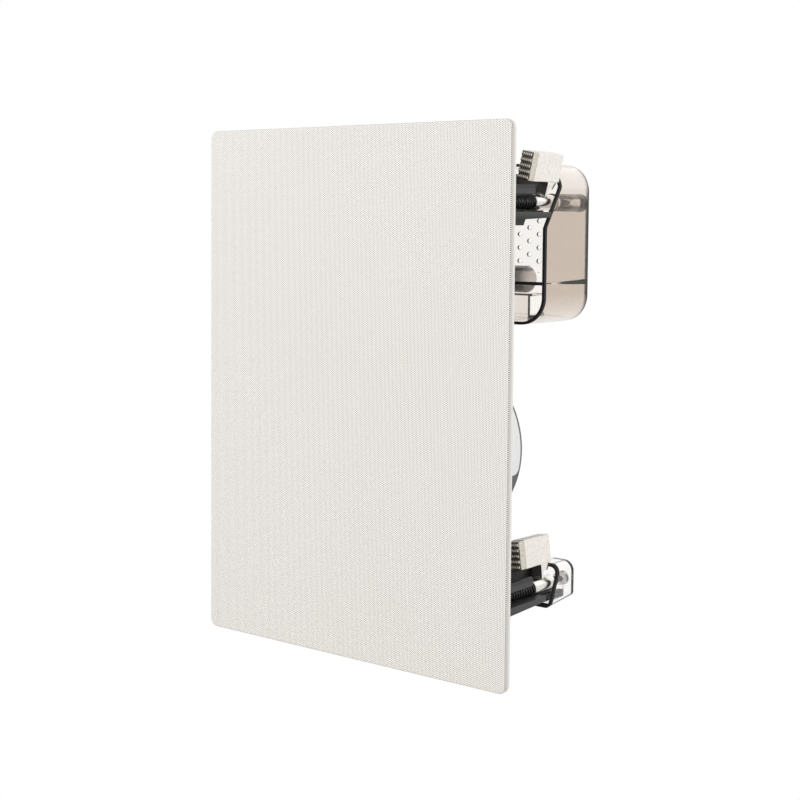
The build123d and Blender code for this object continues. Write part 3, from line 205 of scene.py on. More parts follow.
# How far a mask reaches past the face it has to take in
PAST_FACE = 0.1 * MM

# Towers: how far from the screw's axis the rails stay grey, and where painted shade makes them black
RAIL_LIT = 5.6 * MM
RAIL_DARK = 10.0 * MM

# Woofer label: how far below the woofer's axis it ends, and its rounded corner
LABEL_FOOT = 15.0 * MM
LABEL_CORNER_R = 4.0 * MM

# Crossover capacitors: axis, and where the painted dark reflection bands start and end as shares of the
# radius
CAPACITOR_Z = 66.5 * MM
CAPACITOR_R = 8.0 * MM
CAPACITOR_UPPER_BAND = (0.55, 0.72)
CAPACITOR_LOWER_BAND = (-0.5, -0.3)

# Part of the grain's range that a finish is spread over, and how turning marks stretch the grain
TONE_SPAN = (0.35, 0.65)
SPECKLE_SPAN = (0.38, 0.58)
TURNED_STRETCH = (0.08, 1.0, 0.08)

# Meshes: points closer than this are one, and flatter edges than this are shaded smooth
MERGE = 1e-6
SMOOTH_ANGLE = math.radians(35)


# Shader helpers

def colour(red, green, blue):
    return (red, green, blue, 1.0)


def grey(value):
    return colour(value, value, value)


def new_material(name):
    """A material, its node tree and its Principled shader."""
    material = bpy.data.materials.new(name)
    material.use_nodes = True
    tree = material.node_tree
    return material, tree, tree.nodes["Principled BSDF"]


def add_node(tree, kind, **values):
    """A node with its settings; keys that name an input set that input."""
    node = tree.nodes.new(kind)
    for key, value in values.items():
        if key in node.inputs:
            node.inputs[key].default_value = value
        else:
            setattr(node, key, value)
    return node


def feed(tree, socket, value):
    """Give an input a plain value, or link it to another socket."""
    if isinstance(value, (int, float, tuple)):
        socket.default_value = value
    else:
        tree.links.new(value, socket)


def math_node(tree, operation, *values):
    """A Math node fed by sockets or plain numbers."""
    node = add_node(tree, "ShaderNodeMath", operation=operation)
    for socket, value in zip(node.inputs, values):
        feed(tree, socket, value)
    return node.outputs[0]


def product(tree, mask, *others):
    """Several masks multiplied."""
    for other in others:
        mask = math_node(tree, "MULTIPLY", mask, other)
    return mask


def distance(tree, across, up):
    """Length of a step given by its two parts."""
    squares = [math_node(tree, "MULTIPLY", part, part) for part in (across, up)]
    return math_node(tree, "SQRT", math_node(tree, "ADD", *squares))


def past(tree, value, limit):
    """How far a coordinate lies past a limit."""
    return math_node(tree, "SUBTRACT", value, limit)


def past_either(tree, value, limit):
    """How far a coordinate lies past a limit that is mirrored about zero."""
    return past(tree, math_node(tree, "ABSOLUTE", value), limit)


def mix_colour(tree, factor, first, second):
    """A colour between two colours, each a socket or four numbers."""
    node = add_node(tree, "ShaderNodeMix", data_type="RGBA")
    tree.links.new(factor, node.inputs["Factor"])
    for name, value in (("A", first), ("B", second)):
        feed(tree, [s for s in node.inputs if s.name == name and s.type == "RGBA"][0], value)
    return [s for s in node.outputs if s.type == "RGBA"][0]


def map_range(tree, value, span, to_low, to_high, smooth=False):
    """A value mapped from a span to another range, held at the ends."""
    node = add_node(tree, "ShaderNodeMapRange")
    node.interpolation_type = "SMOOTHSTEP" if smooth else "LINEAR"
    tree.links.new(value, node.inputs["Value"])
    limits = {"From Min": span[0], "From Max": span[1], "To Min": to_low, "To Max": to_high}
    for name, number in limits.items():
        node.inputs[name].default_value = number
    return node.outputs["Result"]


def rising(tree, value, span, smooth=False):
    """A mask from 0 to 1 over a span."""
    return map_range(tree, value, span, 0.0, 1.0, smooth)


def falling(tree, value, span, smooth=False):
    """A mask from 1 to 0 over a span."""
    return map_range(tree, value, span, 1.0, 0.0, smooth)


def object_place(tree):
    """Object coordinates."""
    return add_node(tree, "ShaderNodeTexCoord").outputs["Object"]


def parts_of(tree, place):
    """The X, Y and Z of a place."""
    parts = add_node(tree, "ShaderNodeSeparateXYZ")
    tree.links.new(place, parts.inputs[0])
    return parts.outputs


def new_group(name, inputs, outputs):
    """A shader node group with named sockets."""
    group = bpy.data.node_groups.new(name, "ShaderNodeTree")
    for label, kind, value in inputs:
        socket = group.interface.new_socket(label, in_out="INPUT", socket_type=kind)
        if value is not None:
            socket.default_value = value
    for label, kind in outputs:
        group.interface.new_socket(label, in_out="OUTPUT", socket_type=kind)
    entry = group.nodes.new("NodeGroupInput")
    exit_node = group.nodes.new("NodeGroupOutput")
    return group, entry.outputs, exit_node.inputs


def place_group(tree, group, **values):
    """A group placed in a material; keys are its inputs, as sockets or numbers."""
    node = add_node(tree, "ShaderNodeGroup")
    node.node_tree = group
    for key, value in values.items():
        feed(tree, node.inputs[key.replace("_", " ")], value)
    return node.outputs


def grain_group():
    """Fine surface grain with slow clouding: a tone mask and a height."""
    group, given, wanted = new_group(
        "surface_grain",
        [("Vector", "NodeSocketVector", None), ("Grain Scale", "NodeSocketFloat", 900.0),
         ("Cloud Scale", "NodeSocketFloat", 40.0), ("Cloud Share", "NodeSocketFloat", 0.5)],
        [("Tone", "NodeSocketFloat"), ("Height", "NodeSocketFloat")])
    fine = add_node(group, "ShaderNodeTexNoise", Detail=3.0, Roughness=0.55)
    slow = add_node(group, "ShaderNodeTexNoise", Detail=2.0, Roughness=0.5)
    for node, scale in ((fine, "Grain Scale"), (slow, "Cloud Scale")):
        group.links.new(given["Vector"], node.inputs["Vector"])
        group.links.new(given[scale], node.inputs["Scale"])
    cloud = math_node(group, "MULTIPLY", slow.outputs["Fac"], given["Cloud Share"])
    rest = math_node(group, "SUBTRACT", 1.0, given["Cloud Share"])
    grain = math_node(group, "MULTIPLY", fine.outputs["Fac"], rest)
    group.links.new(math_node(group, "ADD", cloud, grain), wanted["Tone"])
    group.links.new(fine.outputs["Fac"], wanted["Height"])
    return group


def hole_group():
    """Staggered round holes, columns upright: 1 in a hole and 0 on the sheet."""
    group, given, wanted = new_group(
        "staggered_holes",
        [("Across", "NodeSocketFloat", 0.0), ("Up", "NodeSocketFloat", 0.0),
         ("Pitch", "NodeSocketFloat", HOLE_PITCH), ("Radius", "NodeSocketFloat", HOLE_R),
         ("Soft", "NodeSocketFloat", HOLE_SOFT)],
        [("Mask", "NodeSocketFloat")])
    column_pair = math_node(group, "MULTIPLY", given["Pitch"], math.sqrt(3.0))
    distances = []
    for shift in (0.0, 0.5):
        offsets = []
        for axis, period in ((given["Across"], column_pair), (given["Up"], given["Pitch"])):
            cells = math_node(group, "ADD", math_node(group, "DIVIDE", axis, period), shift)
            off = math_node(group, "SUBTRACT", math_node(group, "FRACT", cells), 0.5)
            offsets.append(math_node(group, "MULTIPLY", off, period))
        distances.append(distance(group, *offsets))
    nearest = math_node(group, "MINIMUM", *distances)
    inside = math_node(group, "SUBTRACT", given["Radius"], nearest)
    share = math_node(group, "DIVIDE", inside, given["Soft"])
    clamped = add_node(group, "ShaderNodeClamp")
    group.links.new(math_node(group, "ADD", share, 0.5), clamped.inputs["Value"])
    group.links.new(clamped.outputs[0], wanted["Mask"])
    return group


GRAIN = grain_group()
HOLES = hole_group()


def grain_on(tree, place, grain, cloud, share=0.5):
    """The surface grain at a place."""
    return place_group(tree, GRAIN, Vector=place, Grain_Scale=grain, Cloud_Scale=cloud, Cloud_Share=share)


def by_tone(tree, seen, low, high, span=TONE_SPAN):
    """A value that follows the grain's tone."""
    return map_range(tree, seen["Tone"], span, low, high)


def two_tone(tree, seen, dark, pale, span=TONE_SPAN):
    """A colour that follows the grain's tone."""
    return mix_colour(tree, by_tone(tree, seen, 0.0, 1.0, span), dark, pale)


def add_bump(tree, bsdf, height, strength, depth):
    """Surface relief from a height."""
    bump = add_node(tree, "ShaderNodeBump", Strength=strength, Distance=depth)
    tree.links.new(height, bump.inputs["Height"])
    tree.links.new(bump.outputs["Normal"], bsdf.inputs["Normal"])


# Finishes

def grained(name, dark, pale, rough, grain, relief, cloud=40.0, depth=0.05 * MM,
            metallic=0.0, coat=0.0, sheen=0.0):
    """A solid finish whose colour, roughness and relief follow one grain."""
    material, tree, bsdf = new_material(name)
    seen = grain_on(tree, object_place(tree), grain, cloud)
    feed(tree, bsdf.inputs["Base Color"], two_tone(tree, seen, dark, pale))
    feed(tree, bsdf.inputs["Roughness"], by_tone(tree, seen, *rough))
    bsdf.inputs["Metallic"].default_value = metallic
    bsdf.inputs["Coat Weight"].default_value = coat
    bsdf.inputs["Sheen Weight"].default_value = sheen
    add_bump(tree, bsdf, seen["Height"], relief, depth)
    return material


def turned_metal(name, dark, pale, rough, grain):
    """Bright metal with fine marks round the Y direction."""
    material, tree, bsdf = new_material(name)
    stretched = add_node(tree, "ShaderNodeMapping")
    stretched.inputs["Scale"].default_value = TURNED_STRETCH
    tree.links.new(object_place(tree), stretched.inputs["Vector"])
    seen = grain_on(tree, stretched.outputs[0], grain, 60.0, 0.3)
    feed(tree, bsdf.inputs["Base Color"], two_tone(tree, seen, dark, pale))
    feed(tree, bsdf.inputs["Roughness"], by_tone(tree, seen, *rough))
    bsdf.inputs["Metallic"].default_value = 1.0
    add_bump(tree, bsdf, seen["Height"], 0.08, 0.03 * MM)
    return material


def grille_finish():
    """Warm white powder coat on finely perforated sheet, with painted shade in the bend, lighter painted
    shade along the side and darker painted shade in the edge column of holes.
    """
    material, tree, bsdf = new_material("grille_powder_coat")
    place = object_place(tree)
    parts = parts_of(tree, place)
    seen = grain_on(tree, place, 700.0, 9.0, 0.6)
    holes = place_group(tree, HOLES, Across=parts["X"], Up=parts["Z"])
    to_side = math_node(
        tree, "SUBTRACT", GRILLE_HALF_W - GRILLE_PLAIN_EDGE, math_node(tree, "ABSOLUTE", parts["X"]))
    to_end = math_node(
        tree, "SUBTRACT", GRILLE_HALF_H - GRILLE_PLAIN_EDGE, math_node(tree, "ABSOLUTE", parts["Z"]))
    field = math_node(tree, "GREATER_THAN", math_node(tree, "MINIMUM", to_side, to_end), 0.0)
    front = math_node(tree, "LESS_THAN", parts["Y"], GRILLE_FRONT_Y + GRILLE_BEND)
    mask = product(tree, holes["Mask"], field, front)

    paint = two_tone(tree, seen, colour(0.915, 0.890, 0.845), colour(0.935, 0.912, 0.872))
    # Painted shade: dark in the bend, and lighter along the side, which gets less light than the front
    behind = past(tree, parts["Y"], GRILLE_FRONT_Y)
    bend_shade = rising(tree, behind, (GRILLE_BEND_START, GRILLE_BEND), smooth=True)
    paint = mix_colour(tree, bend_shade, paint, colour(0.58, 0.555, 0.52))
    side = rising(tree, behind, (GRILLE_BEND, GRILLE_SIDE_PALE), smooth=True)
    paint = mix_colour(tree, side, paint, colour(0.84, 0.815, 0.775))
    # Painted shade: the column of holes nearest the side, in the bend, is darker
    edge_hole_shade = rising(tree, to_side, (EDGE_HOLES, 0.5 * EDGE_HOLES), smooth=True)
    hole = mix_colour(tree, edge_hole_shade, colour(0.38, 0.36, 0.33), colour(0.14, 0.13, 0.12))
    feed(tree, bsdf.inputs["Base Color"], mix_colour(tree, mask, paint, hole))
    feed(tree, bsdf.inputs["Roughness"], map_range(tree, mask, (0.0, 1.0), 0.52, 0.95))
    sunk = math_node(tree, "MULTIPLY", mask, -1.0)
    peel = math_node(tree, "MULTIPLY", seen["Height"], 0.06)
    add_bump(tree, bsdf, math_node(tree, "ADD", sunk, peel), 0.2, 0.2 * MM)
    return material


def dog_finish():
    """Tumbled zinc casting: fine speckle, painted shade on a strip behind the teeth, on the tooth flanks and
    grooves and on the arm's flanks, and a bright barrel.
    """
    material, tree, bsdf = new_material("dog_tumbled_zinc")
    place = object_place(tree)
    parts = parts_of(tree, place)
    seen = grain_on(tree, place, 2300.0, 700.0, 0.45)
    off_x = past_either(tree, parts["X"], CLAMP_X)
    off_z = past_either(tree, past(tree, parts["Z"], CLAMP_MID_Z), CLAMP_HALF_Z)
    radius = distance(tree, off_x, off_z)
    cast = rising(tree, radius, BARREL_FADE, smooth=True)
    lower = math_node(tree, "LESS_THAN", parts["Z"], CLAMP_MID_Z)
    along = past(tree, parts["Y"], math_node(tree, "MULTIPLY", lower, LOWER_DOG_SETBACK))
    behind = past(tree, along, DOG_FRONT_Y)

    # Painted shade: a darker strip behind the teeth, where the block steps in
    strip = falling(tree, behind, (RELIEF_BACK - RELIEF_FADE, RELIEF_BACK))
    speckled = two_tone(tree, seen, colour(0.78, 0.725, 0.665), colour(0.97, 0.935, 0.89), SPECKLE_SPAN)
    strip_shade = two_tone(tree, seen, colour(0.55, 0.50, 0.42), colour(0.76, 0.72, 0.64), SPECKLE_SPAN)
    faces = mix_colour(tree, strip, speckled, strip_shade)
    # Painted shade on the teeth: black in the grooves between them, dark on the flanks, lighter on the crests
    ripple = math_node(tree, "PINGPONG", parts["X"], TOOTH_PITCH / 2)
    slot = rising(tree, ripple, TOOTH_SLOT)
    flank_shade = mix_colour(tree, slot, colour(0.006, 0.005, 0.004), colour(0.34, 0.30, 0.24))
    crest = falling(tree, behind, TOOTH_CREST)
    toothed = mix_colour(tree, crest, flank_shade, colour(0.80, 0.755, 0.67))
    root = falling(tree, behind, (TOOTH_H, TOOTH_H + TOOTH_ROOT_FADE))
    casting = mix_colour(tree, root, faces, toothed)

    # Painted shade on the arm's front and rear flanks below the block, where the block and grille keep light
    # off
    arm_front = math_node(tree, "MULTIPLY_ADD", radius, ARM_LEAN, ARM_FRONT_Y)
    arm_rear = math_node(tree, "MULTIPLY_ADD", radius, ARM_REAR_LEAN, ARM_REAR_Y)
    ahead = math_node(tree, "LESS_THAN", along, arm_front)
    astern = math_node(tree, "GREATER_THAN", along, arm_rear)
    under = math_node(tree, "LESS_THAN", radius, DOG_BLOCK_LOW)
    shaded = product(tree, under, math_node(tree, "MAXIMUM", ahead, astern))
    casting = mix_colour(tree, shaded, casting, colour(0.045, 0.042, 0.038))
    feed(tree, bsdf.inputs["Base Color"], mix_colour(tree, cast, colour(0.74, 0.72, 0.68), casting))
    feed(tree, bsdf.inputs["Roughness"], map_range(tree, cast, (0.0, 1.0), 0.2, 0.66))
    feed(tree, bsdf.inputs["Metallic"], map_range(tree, cast, (0.0, 1.0), 1.0, 0.12))
    add_bump(tree, bsdf, product(tree, seen["Height"], cast), 0.25, 0.08 * MM)
    return material


def past_corner(tree, parts):
    """How far a point lies from the corner centres of the cover's rounded outline."""
    out = past_either(tree, parts["X"], COVER_CORNER_X)
    over = past(tree, parts["Z"], COVER_CORNER_TOP_Z)
    under = math_node(tree, "SUBTRACT", COVER_CORNER_LOW_Z, parts["Z"])
    up = math_node(tree, "MAXIMUM", over, under)
    return distance(tree, *(math_node(tree, "MAXIMUM", part, 0.0) for part in (out, up)))


def banded_walls(tree, parts, reach):
    """Pale rear, and side walls tinted darkest in a band between the bar and the clamp screws."""
    wall = rising(tree, reach, WALL_FADE)
    above = rising(tree, parts["Z"], WALL_BAND_LOW_Z)
    below = falling(tree, parts["Z"], WALL_BAND_TOP_Z, smooth=True)
    smoke = product(tree, above, below)
    smoked = mix_colour(tree, smoke, colour(0.87, 0.82, 0.775), colour(0.62, 0.53, 0.46))
    return mix_colour(tree, wall, colour(0.945, 0.92, 0.89), smoked)


def vent_shade_mask(tree, parts, reach):
    """One inside the bores of the two staggered vent fields, whose walls get painted shade."""
    across = past_either(tree, parts["X"], VENT_FIRST[0])
    up = past(tree, parts["Z"], VENT_FIRST[1])
    bores = []
    for shift in (0.0, 0.5):
        offsets = []
        for part, step in zip((across, up), VENT_STEP):
            offsets.append(math_node(tree, "PINGPONG", past(tree, part, shift * step), step / 2))
        bores.append(math_node(tree, "LESS_THAN", distance(tree, *offsets), VENT_R + PAST_FACE))
    found = math_node(tree, "MAXIMUM", *bores)
    for part, size in zip((across, up), VENT_FIELD):
        off = math_node(tree, "ABSOLUTE", past(tree, part, size / 2))
        found = product(tree, found, math_node(tree, "LESS_THAN", off, size / 2 + 2 * VENT_R))
    inside = math_node(tree, "LESS_THAN", reach, COVER_INNER_R)
    return product(tree, found, inside, math_node(tree, "GREATER_THAN", parts["Y"], COVER_REAR_Y))


def rib_shade_mask(tree, parts, reach):
    """One on the ribs inside the side walls, where painted shade makes them near black, widening and
    darkening towards the rear.
    """
    off_bar = math_node(tree, "ABSOLUTE", past(tree, parts["Z"], COVER_BAR_Z))
    half = map_range(tree, parts["Y"], (SIDE_RIB_FRONT_Y, COVER_REAR_Y), SIDE_RIB_TIP / 2, SIDE_RIB_T / 2)
    near_bar = math_node(tree, "LESS_THAN", off_bar, half)
    near_wall = math_node(tree, "GREATER_THAN", reach, SIDE_RIB_REACH)
    return product(tree, near_bar, near_wall, rising(tree, parts["Y"], SIDE_RIB_FADE))


def rear_edge_shade_mask(tree, parts, reach):
    """One on the rear edge of the side walls, where painted shade makes it dark, faint in the corners."""
    rim = rising(tree, reach, (COVER_INNER_R - REAR_EDGE_FADE, COVER_INNER_R))
    rear = rising(tree, parts["Y"], (COVER_REAR_Y, COVER_REAR_Y + REAR_EDGE_FADE))
    upper = map_range(tree, parts["Z"], REAR_EDGE_TOP_Z, 1.0, REAR_EDGE_FAINT)
    lower = map_range(tree, parts["Z"], REAR_EDGE_LOW_Z, REAR_EDGE_FAINT, 1.0)
    return product(tree, rim, rear, upper, lower)


def sleeve_shade_mask(tree, parts):
    """One on the upper and lower bands of the clamp screws' sleeves, where painted shade makes them dark."""
    off_x = past_either(tree, parts["X"], CLAMP_X)
    off_z = past(tree, parts["Z"], CLAMP_UPPER_Z)
    near_axis = math_node(tree, "LESS_THAN", distance(tree, off_x, off_z), SLEEVE_R + PAST_FACE)
    sleeve = product(tree, near_axis, math_node(tree, "GREATER_THAN", parts["Y"], SLEEVE_FRONT_Y))
    upper = rising(tree, off_z, SLEEVE_UPPER_BAND, smooth=True)
    lower = falling(tree, off_z, SLEEVE_LOWER_BAND, smooth=True)
    return product(tree, sleeve, math_node(tree, "MAXIMUM", upper, lower))


def recess_masks(tree, parts):
    """One in the terminal recess, and one on the outline of its floor, where painted shade draws a dark line.
    """
    pocket = math_node(tree, "GREATER_THAN", parts["X"], RECESS_START_X)
    limits = {"X": RECESS_END_X, "Z": RECESS_TOP_Z, "Y": RECESS_FRONT_Y + COVER_WALL}
    for axis, limit in limits.items():
        pocket = product(tree, pocket, math_node(tree, "LESS_THAN", parts[axis], limit + PAST_FACE))
    to_end = math_node(tree, "GREATER_THAN", parts["X"], RECESS_END_X - RECESS_LINE)
    to_top = math_node(tree, "GREATER_THAN", parts["Z"], RECESS_TOP_Z - RECESS_LINE)
    on_floor = math_node(tree, "LESS_THAN", parts["Y"], RECESS_FRONT_Y + RECESS_LINE_DEPTH)
    return pocket, product(tree, pocket, math_node(tree, "MAXIMUM", to_end, to_top), on_floor)


def cover_tint(tree, parts):
    """Tint of the rear cover: walls with a darker band, and painted shade in the vents, on the ribs, rear
    edge, sleeve bands and recess line.
    """
    reach = past_corner(tree, parts)
    pocket, outline = recess_masks(tree, parts)
    tint = banded_walls(tree, parts, reach)
    for mask, shade in (
            # Painted shade: vents, ribs, rear edge, sleeve bands and recess line are tinted dark
            (vent_shade_mask(tree, parts, reach), colour(0.24, 0.21, 0.19)),
            (rib_shade_mask(tree, parts, reach), colour(0.012, 0.011, 0.010)),
            (rear_edge_shade_mask(tree, parts, reach), colour(0.03, 0.027, 0.024)),
            (sleeve_shade_mask(tree, parts), colour(0.04, 0.034, 0.03)),
            (pocket, colour(0.80, 0.735, 0.675)),
            (outline, colour(0.012, 0.010, 0.008))):
        tint = mix_colour(tree, mask, tint, shade)
    return tint


def cap_tint(tree, parts):
    """Tint of the clamp caps: nearly white, grey at the screw's bearing."""
    off_x = past_either(tree, parts["X"], CLAMP_X)
    off_z = past(tree, parts["Z"], CLAMP_LOWER_Z)
    bearing = math_node(tree, "LESS_THAN", distance(tree, off_x, off_z), CAP_BEARING_R)
    return mix_colour(tree, bearing, colour(0.985, 0.98, 0.975), colour(0.42, 0.40, 0.38))


def clear_finish():
    """Clear polycarbonate of the smoked rear cover and the clamp caps."""
    material, tree, bsdf = new_material("smoked_polycarbonate")
    place = object_place(tree)
    parts = parts_of(tree, place)
    seen = grain_on(tree, place, 60.0, 14.0)
    on_cover = math_node(tree, "GREATER_THAN", parts["Z"], CLAMP_MID_Z)
    tint = mix_colour(tree, on_cover, cap_tint(tree, parts), cover_tint(tree, parts))
    feed(tree, bsdf.inputs["Base Color"], tint)
    feed(tree, bsdf.inputs["Roughness"], by_tone(tree, seen, 0.01, 0.04))
    bsdf.inputs["Transmission Weight"].default_value = 1.0
    bsdf.inputs["IOR"].default_value = 1.49
    bsdf.inputs["Specular Tint"].default_value = grey(0.45)
    add_bump(tree, bsdf, seen["Height"], 0.02, 0.2 * MM)
    smoke = add_node(tree, "ShaderNodeVolumeAbsorption", Color=colour(0.80, 0.72, 0.65), Density=20.0)
    tree.links.new(smoke.outputs[0], tree.nodes["Material Output"].inputs["Volume"])
    return material


def capacitor_finish():
    """Glossy pale sleeve, made lighter still as painted light, with a painted dark reflection band above and
    below.
    """
    material, tree, bsdf = new_material("capacitor_wrap")
    place = object_place(tree)
    seen = grain_on(tree, place, 700.0, 60.0)
    off = past(tree, parts_of(tree, place)["Z"], CAPACITOR_Z)
    upper = rising(tree, off, [share * CAPACITOR_R for share in CAPACITOR_UPPER_BAND], smooth=True)
    lower = falling(tree, off, [share * CAPACITOR_R for share in CAPACITOR_LOWER_BAND], smooth=True)
    reflection_band = math_node(tree, "MAXIMUM", upper, lower)
    pale = two_tone(tree, seen, colour(0.93, 0.905, 0.87), colour(0.96, 0.935, 0.90))
    feed(tree, bsdf.inputs["Base Color"], mix_colour(tree, reflection_band, pale, colour(0.30, 0.285, 0.27)))
    bsdf.inputs["Roughness"].default_value = 0.3
    bsdf.inputs["Coat Weight"].default_value = 0.3
    return material


def tower_finish():
    """Black moulding, grey on the rails beside the screw and darkened to black by painted shade away from
    them.
    """
    material, tree, bsdf = new_material("tower_moulding")
    place = object_place(tree)
    parts = parts_of(tree, place)
    seen = grain_on(tree, place, 1100.0, 70.0)
    lower = math_node(tree, "LESS_THAN", parts["Z"], CLAMP_MID_Z)
    axis_z = math_node(tree, "MULTIPLY_ADD", lower, CLAMP_LOWER_Z - CLAMP_UPPER_Z, CLAMP_UPPER_Z)
    off_z = math_node(tree, "ABSOLUTE", past(tree, parts["Z"], axis_z))
    # Painted shade: the moulding darkens to black away from the screw's rails
    lit = falling(tree, off_z, (RAIL_LIT, RAIL_DARK), smooth=True)
    share = product(tree, lit, by_tone(tree, seen, 0.75, 1.0))
    feed(tree, bsdf.inputs["Base Color"], mix_colour(tree, share, grey(0.006), colour(0.052, 0.051, 0.050)))
    feed(tree, bsdf.inputs["Roughness"], by_tone(tree, seen, 0.34, 0.48))
    bsdf.inputs["Specular IOR Level"].default_value = 0.3
    add_bump(tree, bsdf, seen["Height"], 0.12, 0.05 * MM)
    return material


def label_finish():
    """White coated paper whose foot is the can's own grey below a rounded corner."""
    material, tree, bsdf = new_material("label_coated_paper")
    place = object_place(tree)
    parts = parts_of(tree, place)
    seen = grain_on(tree, place, 1500.0, 40.0)
    rear_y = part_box("woofer_label")[1].y
    past_rear = past(tree, parts["Y"], rear_y - LABEL_CORNER_R)
    past_foot = math_node(tree, "SUBTRACT", WOOFER_Z - LABEL_FOOT + LABEL_CORNER_R, parts["Z"])
    reach = distance(tree, *(math_node(tree, "MAXIMUM", part, 0.0) for part in (past_rear, past_foot)))
    bare = math_node(tree, "GREATER_THAN", reach, LABEL_CORNER_R)
    paper = two_tone(tree, seen, colour(0.86, 0.86, 0.855), colour(0.91, 0.91, 0.905))
    feed(tree, bsdf.inputs["Base Color"], mix_colour(tree, bare, paper, colour(0.12, 0.117, 0.112)))
    feed(tree, bsdf.inputs["Roughness"], by_tone(tree, seen, 0.45, 0.6))
    add_bump(tree, bsdf, seen["Height"], 0.08, 0.03 * MM)
    return material


def metal_finishes():
    """Turned and plated metals by material slot."""
    return {
        "magnet_nickel": turned_metal(
            "magnet_nickel", colour(0.60, 0.59, 0.56), colour(0.74, 0.73, 0.70), (0.12, 0.25), 900.0),
        "zinc_screw": turned_metal(
            "screw_zinc_plate", colour(0.52, 0.51, 0.48), colour(0.72, 0.71, 0.68), (0.2, 0.36), 1500.0),
        "plate_steel": turned_metal(
            "motor_plate_steel", colour(0.45, 0.45, 0.44), colour(0.60, 0.60, 0.58), (0.25, 0.42), 1200.0),
        "black_screw": grained(
            "blackened_screw", grey(0.012), colour(0.04, 0.04, 0.042), (0.25, 0.4), 1400.0, 0.1,
            depth=0.03 * MM, metallic=0.8),
        "spring_steel": grained(
            "spring_black_oxide", grey(0.008), grey(0.02), (0.42, 0.55), 2000.0, 0.1, depth=0.02 * MM),
        "copper_wire": grained(
            "enamelled_copper", colour(0.42, 0.16, 0.06), colour(0.62, 0.27, 0.11), (0.2, 0.34), 900.0, 0.08,
            depth=0.03 * MM, metallic=0.9, coat=0.4),
        "basket_steel": grained(
            "basket_lacquer", grey(0.012), grey(0.028), (0.32, 0.48), 900.0, 0.2, cloud=30.0),
        "ferrite": grained(
            "ferrite", colour(0.035, 0.035, 0.038), colour(0.075, 0.075, 0.08), (0.6, 0.8), 1200.0, 0.3,
            depth=0.06 * MM),
        "can_steel": grained(
            "can_lacquer", grey(0.075), grey(0.115), (0.34, 0.5), 1000.0, 0.12, cloud=25.0, depth=0.04 * MM),
    }


def soft_and_moulded_finishes():
    """Plastics, rubbers, paper, cloth and boards by material slot."""
    return {
        "frame_plastic": grained(
            "frame_moulding", grey(0.014), grey(0.030), (0.48, 0.62), 1600.0, 0.35,
            cloud=25.0, depth=0.08 * MM),
        "seal_rubber": grained(
            "seal_foam_rubber", grey(0.006), grey(0.016), (0.75, 0.92), 2200.0, 0.3, depth=0.08 * MM),
        "board_laminate": grained(
            "board_lacquer", colour(0.010, 0.075, 0.028), colour(0.02, 0.12, 0.045), (0.25, 0.4), 500.0, 0.15,
            coat=0.3),
        "resistor_cement": grained(
            "resistor_cement", colour(0.58, 0.56, 0.51), colour(0.76, 0.74, 0.69), (0.8, 0.95), 1700.0, 0.4,
            depth=0.1 * MM),
        "terminal_plastic": grained(
            "terminal_moulding", grey(0.012), grey(0.03), (0.4, 0.55), 1300.0, 0.2),
        "button_red": grained(
            "button_red_moulding", colour(0.42, 0.012, 0.012), colour(0.55, 0.022, 0.02), (0.25, 0.36),
            800.0, 0.06),
        "button_black": grained(
            "button_black_moulding", grey(0.010), grey(0.022), (0.25, 0.36), 800.0, 0.06),
        "surround_rubber": grained(
            "surround_butyl", grey(0.010), grey(0.022), (0.5, 0.66), 700.0, 0.1),
        "cone_paper": grained(
            "cone_paper", colour(0.016, 0.016, 0.017), colour(0.045, 0.045, 0.047), (0.6, 0.8), 420.0, 0.4,
            cloud=60.0, depth=0.1 * MM),
        "spider_cloth": grained(
            "spider_cloth", colour(0.36, 0.20, 0.06), colour(0.52, 0.32, 0.12), (0.8, 0.95), 1500.0, 0.5,
            depth=0.1 * MM, sheen=0.2),
        "dome_silk": grained(
            "dome_silk", colour(0.012, 0.012, 0.013), colour(0.035, 0.035, 0.036), (0.45, 0.6), 2400.0, 0.35,
            sheen=0.3),
    }


def all_finishes():
    """One material for each of the record's material slots."""
    special = {
        "grille_steel": grille_finish(),
        "dog_zinc": dog_finish(),
        "clear_plastic": clear_finish(),
        "tower_plastic": tower_finish(),
        "capacitor_film": capacitor_finish(),
        "label_paper": label_finish(),
    }
    return {**special, **metal_finishes(), **soft_and_moulded_finishes()}


# Modelling helpers

def start_clean():
    """Object mode with nothing selected."""
    if bpy.context.object and bpy.context.object.mode != "OBJECT":
        bpy.ops.object.mode_set(mode="OBJECT")
    bpy.ops.object.select_all(action="DESELECT")


def pick(obj):
    """One object alone selected and active."""
    start_clean()
    obj.select_set(True)
    bpy.context.view_layer.objects.active = obj


def delete(obj):
    pick(obj)
    bpy.ops.object.delete()


def apply_placing():
    """Turn the active object's place, turn and scale into its mesh."""
    bpy.ops.object.transform_apply(location=True, rotation=True, scale=True)


def drawn_line(points):
    """A line of edges drawn from one corner by extruding it from point to point."""
    start_clean()
    bpy.ops.mesh.primitive_plane_add(size=MM, location=(0.0, 0.0, 0.0))
    bpy.ops.object.mode_set(mode="EDIT")
    bpy.ops.mesh.merge(type="CENTER")
    bpy.ops.transform.translate(value=points[0])
    here = Vector(points[0])
    for point in points[1:]:
        step = Vector(point) - here
        bpy.ops.mesh.extrude_vertices_move(TRANSFORM_OT_translate={"value": tuple(step)})
        here = Vector(point)
    bpy.ops.object.mode_set(mode="OBJECT")
    return bpy.context.object


def apply_modifier(obj, name):
    bpy.context.view_layer.objects.active = obj
    bpy.ops.object.modifier_apply(modifier=name)


